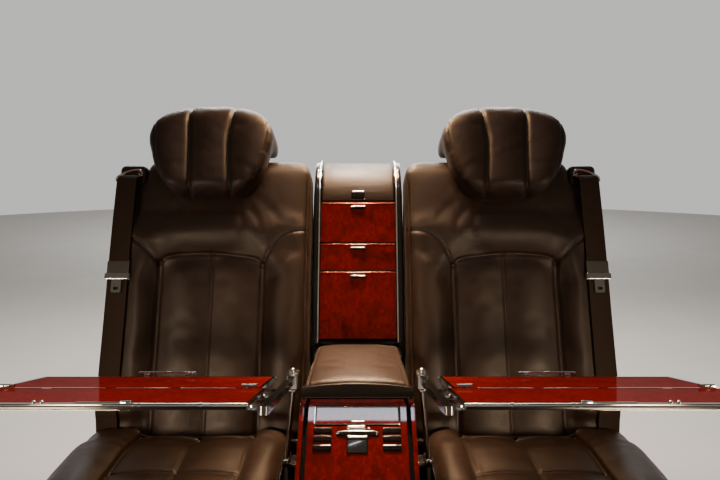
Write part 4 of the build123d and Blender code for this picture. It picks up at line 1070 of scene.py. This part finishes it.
def make_flanks():
    """Panels that close the gaps between the console with its stack and the backrests, in black that paints
    the shade on the leather sides there.
    """
    upper, lower = Shape(), Shape()
    for way in (-1, 1):
        sides = sorted((way * 107.4, way * 112.4))
        upper.slab([(14, -26), (116, -26), (116, 330), (104, 408), (78, 446), (52, 430), (18, 360)],
                   *sides, 1.6, axis=0)
        sides = sorted((way * 101.4, way * 111.4))
        lower.slab([(212, 470), (372, 470), (372, 580), (300, 606), (252, 578), (222, 536)],
                   *sides, 2.4, axis=0)
    # black satin here is painted shade: the sides are leather lying in shade
    upper.make("stack_flanks", STACK, "console_body", SATIN, "black_plastic")
    lower.make("console_flanks", UNIT, "console_body", SATIN, "black_plastic")


def strap_profile(half, thick):
    """Section of a woven strap with thicker edges."""
    return [(-half, 0), (-half + 0.4, thick * 0.75), (-half + 2.4, thick * 0.8), (-half + 3.6, thick / 2),
            (0, thick * 0.46), (half - 3.6, thick / 2), (half - 2.4, thick * 0.8), (half - 0.4, thick * 0.75),
            (half, 0), (half - 0.4, -thick * 0.75), (half - 3.0, -thick * 0.6), (0, -thick * 0.5),
            (-half + 3.0, -thick * 0.6), (-half + 0.4, -thick * 0.75)]


def make_belts():
    """Harness webbing from its anchor up to a chrome loop at the outer shoulder."""
    belt_x, tongue_z = 208, 344
    strap = Shape()
    path = through([(208, -3.4, -31), (208, -4.0, -6), (208, -12, 22), (207.5, -21.5, 52),
                    (207, -23.2, 150), (207.5, -22.6, 260), (208, -22.8, 345), (208.5, -22.4, 450),
                    (208, -22.0, 540), (208, -20.5, 576), (208, -14.0, 592), (208, -4.0, 598)], 7)
    strap.ribbon(path, (1, 0, 0), strap_profile(24, 1.5))
    housing = Shape()
    housing.slab(rounded(33.5, 27, 13, (203.2, 600.5)), 2.0, 93.0, 9.0)
    loop = Shape()
    ring = through([(176, -9.5, 600), (181, -12.5, 608.5), (204, -17, 604), (231, -14, 593),
                    (237.5, -9.5, 586), (233, -9.5, 580.5), (208, -12.5, 588), (181, -10, 595)],
                   6, closed=True)
    loop.tube(ring, 2.7, 10, closed=True)
    for x in (184, 230):
        loop.tube([(x, -9.0, 600 - (x - 184) * 0.3), (x, 6.0, 600 - (x - 184) * 0.3)], 2.6, 10)
    tongue = Shape()
    plate = rounded(28.5, 7.5, 3.5, (belt_x, tongue_z))
    tongue.slab(plate, -29.5, -25.0, 1.6)
    tongue.slab(plate, -21.0, -18.2, 1.2)
    for x in (belt_x - 26.8, belt_x + 26.8):
        tongue.tube([(x, -28.0, tongue_z), (x, -19.5, tongue_z)], 1.9, 8)
    outer = rounded(11.5, 16.5, 4.5, (belt_x, 322))
    hole = rounded(5.4, 3.4, 1.4, (belt_x, 315.5))
    add_pierced_plate(tongue, outer, hole, -28.0, -26.0)
    sleeve = Shape()
    sleeve.ribbon(through([(208, -22.6, 352), (208, -22.8, 366), (208, -22.9, 380)], 4), (1, 0, 0),
                  [(-25.6, -2.2), (25.6, -2.2), (26.4, 0), (25.6, 2.2), (-25.6, 2.2), (-26.4, 0)])
    make_both(BACK, [
        ("belt_strap", strap, "backrest_body", WEBBING, "webbing", "belt_webbing"),
        ("belt_housing", housing, "backrest_body", LEATHER, "leather", "belt_fittings"),
        ("belt_loop", loop, "backrest_body", CHROME, "chrome"),
        ("belt_tongue", tongue, "backrest_body", CHROME, "chrome"),
        ("belt_stop", sleeve, "backrest_body", BLACK, "black_plastic")])


def add_pierced_plate(shape, outer, hole, low, high):
    """A flat plate with a hole in it; both outlines have as many points."""
    n = len(outer)
    points = [(x, y, z) for y in (low, high) for ring in (outer, hole) for x, z in ring]
    faces = []
    for k in range(n):
        m = (k + 1) % n
        faces += [[k, m, n + m, n + k], [2 * n + k, 3 * n + k, 3 * n + m, 2 * n + m],
                  [k, 2 * n + k, 2 * n + m, m], [n + k, n + m, 3 * n + m, 3 * n + k]]
    shape.add(points, faces)


def make_table_details():
    """Front tube with its fittings, a black band on the rail's face that paints the chrome's dark reflection,
    hinge strips, book stop and arm caps of each table.
    """
    front = Shape()
    tube_y, tube_z = -149.4, -2.2
    front.tube([(x, tube_y, tube_z) for x in (147.5, 149, 583, 584.5)], [1.6, 2.4, 2.4, 1.6], 14)
    for x in (212, 296, 304):
        front.tube([(x + step, tube_y, tube_z) for step in (-1.8, -1.2, 1.2, 1.8)], [2.8, 3.4, 3.4, 2.8], 14)
    front.slab(rounded(8, 3.2, 1.6, (315, -146.4)), -3.0, 3.4, 1.2, axis=2)
    front.slab(rounded(31, 1.5, 1.3, (353, -147.4)), -3.0, 1.5, 0.7, axis=2)
    for x in (430, 441):
        front.ball((x, -147.4, 0.2), 3.2, 8, 12)
    # the black band is painted reflection: the chrome rail's face shows the dark interior there
    band = Shape()
    band.slab(rounded(217.0, 2.3, 1.0, (366.0, -6.6)), -150.9, -149.2, 0.6)
    strips = Shape()
    for x0, x1 in ((196, 284), (300, 388), (404, 492), (508, 574)):
        strips.slab(rounded((x1 - x0) / 2, 1.3, 1.0, ((x0 + x1) / 2, -4.2)), -0.5, 1.0, 0.5, axis=2)
    stop = Shape()
    stop.tube([(x, 157.2, 7.2) for x in (304.2, 305.4, 410.6, 411.8)], [1.0, 1.75, 1.75, 1.0], 12)
    stop.slab(rounded(4.6, 2.2, 1.4, (346, 155.6)), -2.0, 2.4, 0.9, axis=2)
    for x in (320, 396):
        stop.slab(rounded(4.9, 2.6, 1.2, (x, 156.4)), -3.0, 6.4, 0.6, axis=2)
    stop.tube([(x, 155.3, -1.5) for x in (152, 153, 574, 575)], [0.4, 0.75, 0.75, 0.4], 8)
    caps = Shape()
    for y in (-148.0, -106.8, -40.0, 1.2):
        caps.tube([(140, y - 1.6, -4.5), (140, y - 1.2, -4.5), (140, y + 5.2, -4.5), (140, y + 5.6, -4.5)],
                  [3.2, 4.6, 4.6, 3.2], 16)
    make_both(TABLE, [
        ("table_front_band", band, "table_body", GLOSS, "black_gloss"),
        ("table_front_tube", front, "table_body", CHROME, "chrome"),
        ("fold_strips", strips, "table_body", CHROME, "chrome"),
        ("book_stop", stop, "table_leaf_body", CHROME, "chrome"),
        ("arm_caps", caps, "console_body", CHROME, "chrome")])


def make_posts():
    """Collars, a waisted top and screws for each table post, with its pocket's rim and a foot cover."""
    foot_x, foot_z, head_x, head_z = 140, 394, 125, 549
    post = Shape()
    for t in (0.03, 0.97):
        x, z = foot_x + (head_x - foot_x) * t, foot_z + (head_z - foot_z) * t
        post.slab(rounded(8.4, 16.0, 6.0, (x, -18)), z - 3, z + 3, 1.4, axis=2)
    path = [(head_x, -18, z) for z in (573.5, 575.0, 577.0, 578.6)]
    post.tube(path, [8.6, 8.2, 5.0, 4.4], 20)
    for y in (-29.5, -6.5):
        for x in (121, 145):
            post.tube([(x, y, 393.6), (x, y, 395.2), (x, y, 395.8)], [2.7, 2.7, 1.7], 10)
    rim = Shape()
    top = rounded(19.0, 130.2, 3.0, (130.75, -60))
    rim.tube([(x, y, 388.2) for x, y in top], 1.4, 8, closed=True)
    for x in (116.5, 145.0):
        for y in (-184.5, 64.5):
            rim.tube([(x, y, 387.4), (x, y, 389.2), (x, y, 389.8)], [2.6, 2.6, 1.5], 10)
    foot = Shape()
    foot.slab(rounded(17.0, 14.6, 4.0, (133, -18)), 392.6, 395.0, 1.0, axis=2)
    make_both(UNIT, [
        ("post_collars", post, "console_body", CHROME, "chrome"),
        ("pocket_rim", rim, "console_body", GLOSS, "black_gloss"),
        ("post_foot", foot, "console_body", SATIN, "black_plastic")])


def make_armrest_lip():
    """Rounded lip in front of the armrest with a thin bright line, and the wood just under it."""
    half, high, fall = 110, 557.4, 8.8          # half width, top, and the crown's fall at the ends
    lip = Shape()
    ends = [(104, 529.2), (108.2, 530.4), (half, 533.6), (half, 543.4), (108.6, 547.2)]
    top = [(x, high - fall * (x / half) ** 2) for x in np.linspace(105, -105, 29)]
    lip.slab(ends + top + [(-x, z) for x, z in ends[::-1]], -29.4, -17.0, 3.2)
    lip.make("armrest_lip", UNIT, "armrest_body", LIP, "black_plastic")
    line = Shape()
    line.tube([(x, -28.9, 529.9) for x in np.linspace(-101, 101, 30)], 0.8, 8)
    line.make("armrest_lip_line", UNIT, "armrest_body", CHROME, "chrome")
    wood = Shape()
    for x, reach in ((-103.6, 5.0), (0, 90.6), (103.6, 5.0)):
        wood.slab(rounded(reach, 4.2, 1.0, (x, 523.2)), -31.6, -28.8, 0.8)
    wood.make("fascia_top_edge", UNIT, "console_body", BURR, "burr_wood")


dress_nodes()
make_camera()
make_world()
make_lights()
make_floor()
make_backrests()
make_headrests()
make_cushions()
make_leg_rests()
make_armrest_pad()
make_lid_leather()
make_stack_details()
make_fascia_details()
make_flanks()
make_belts()
make_table_details()
make_posts()
make_armrest_lip()
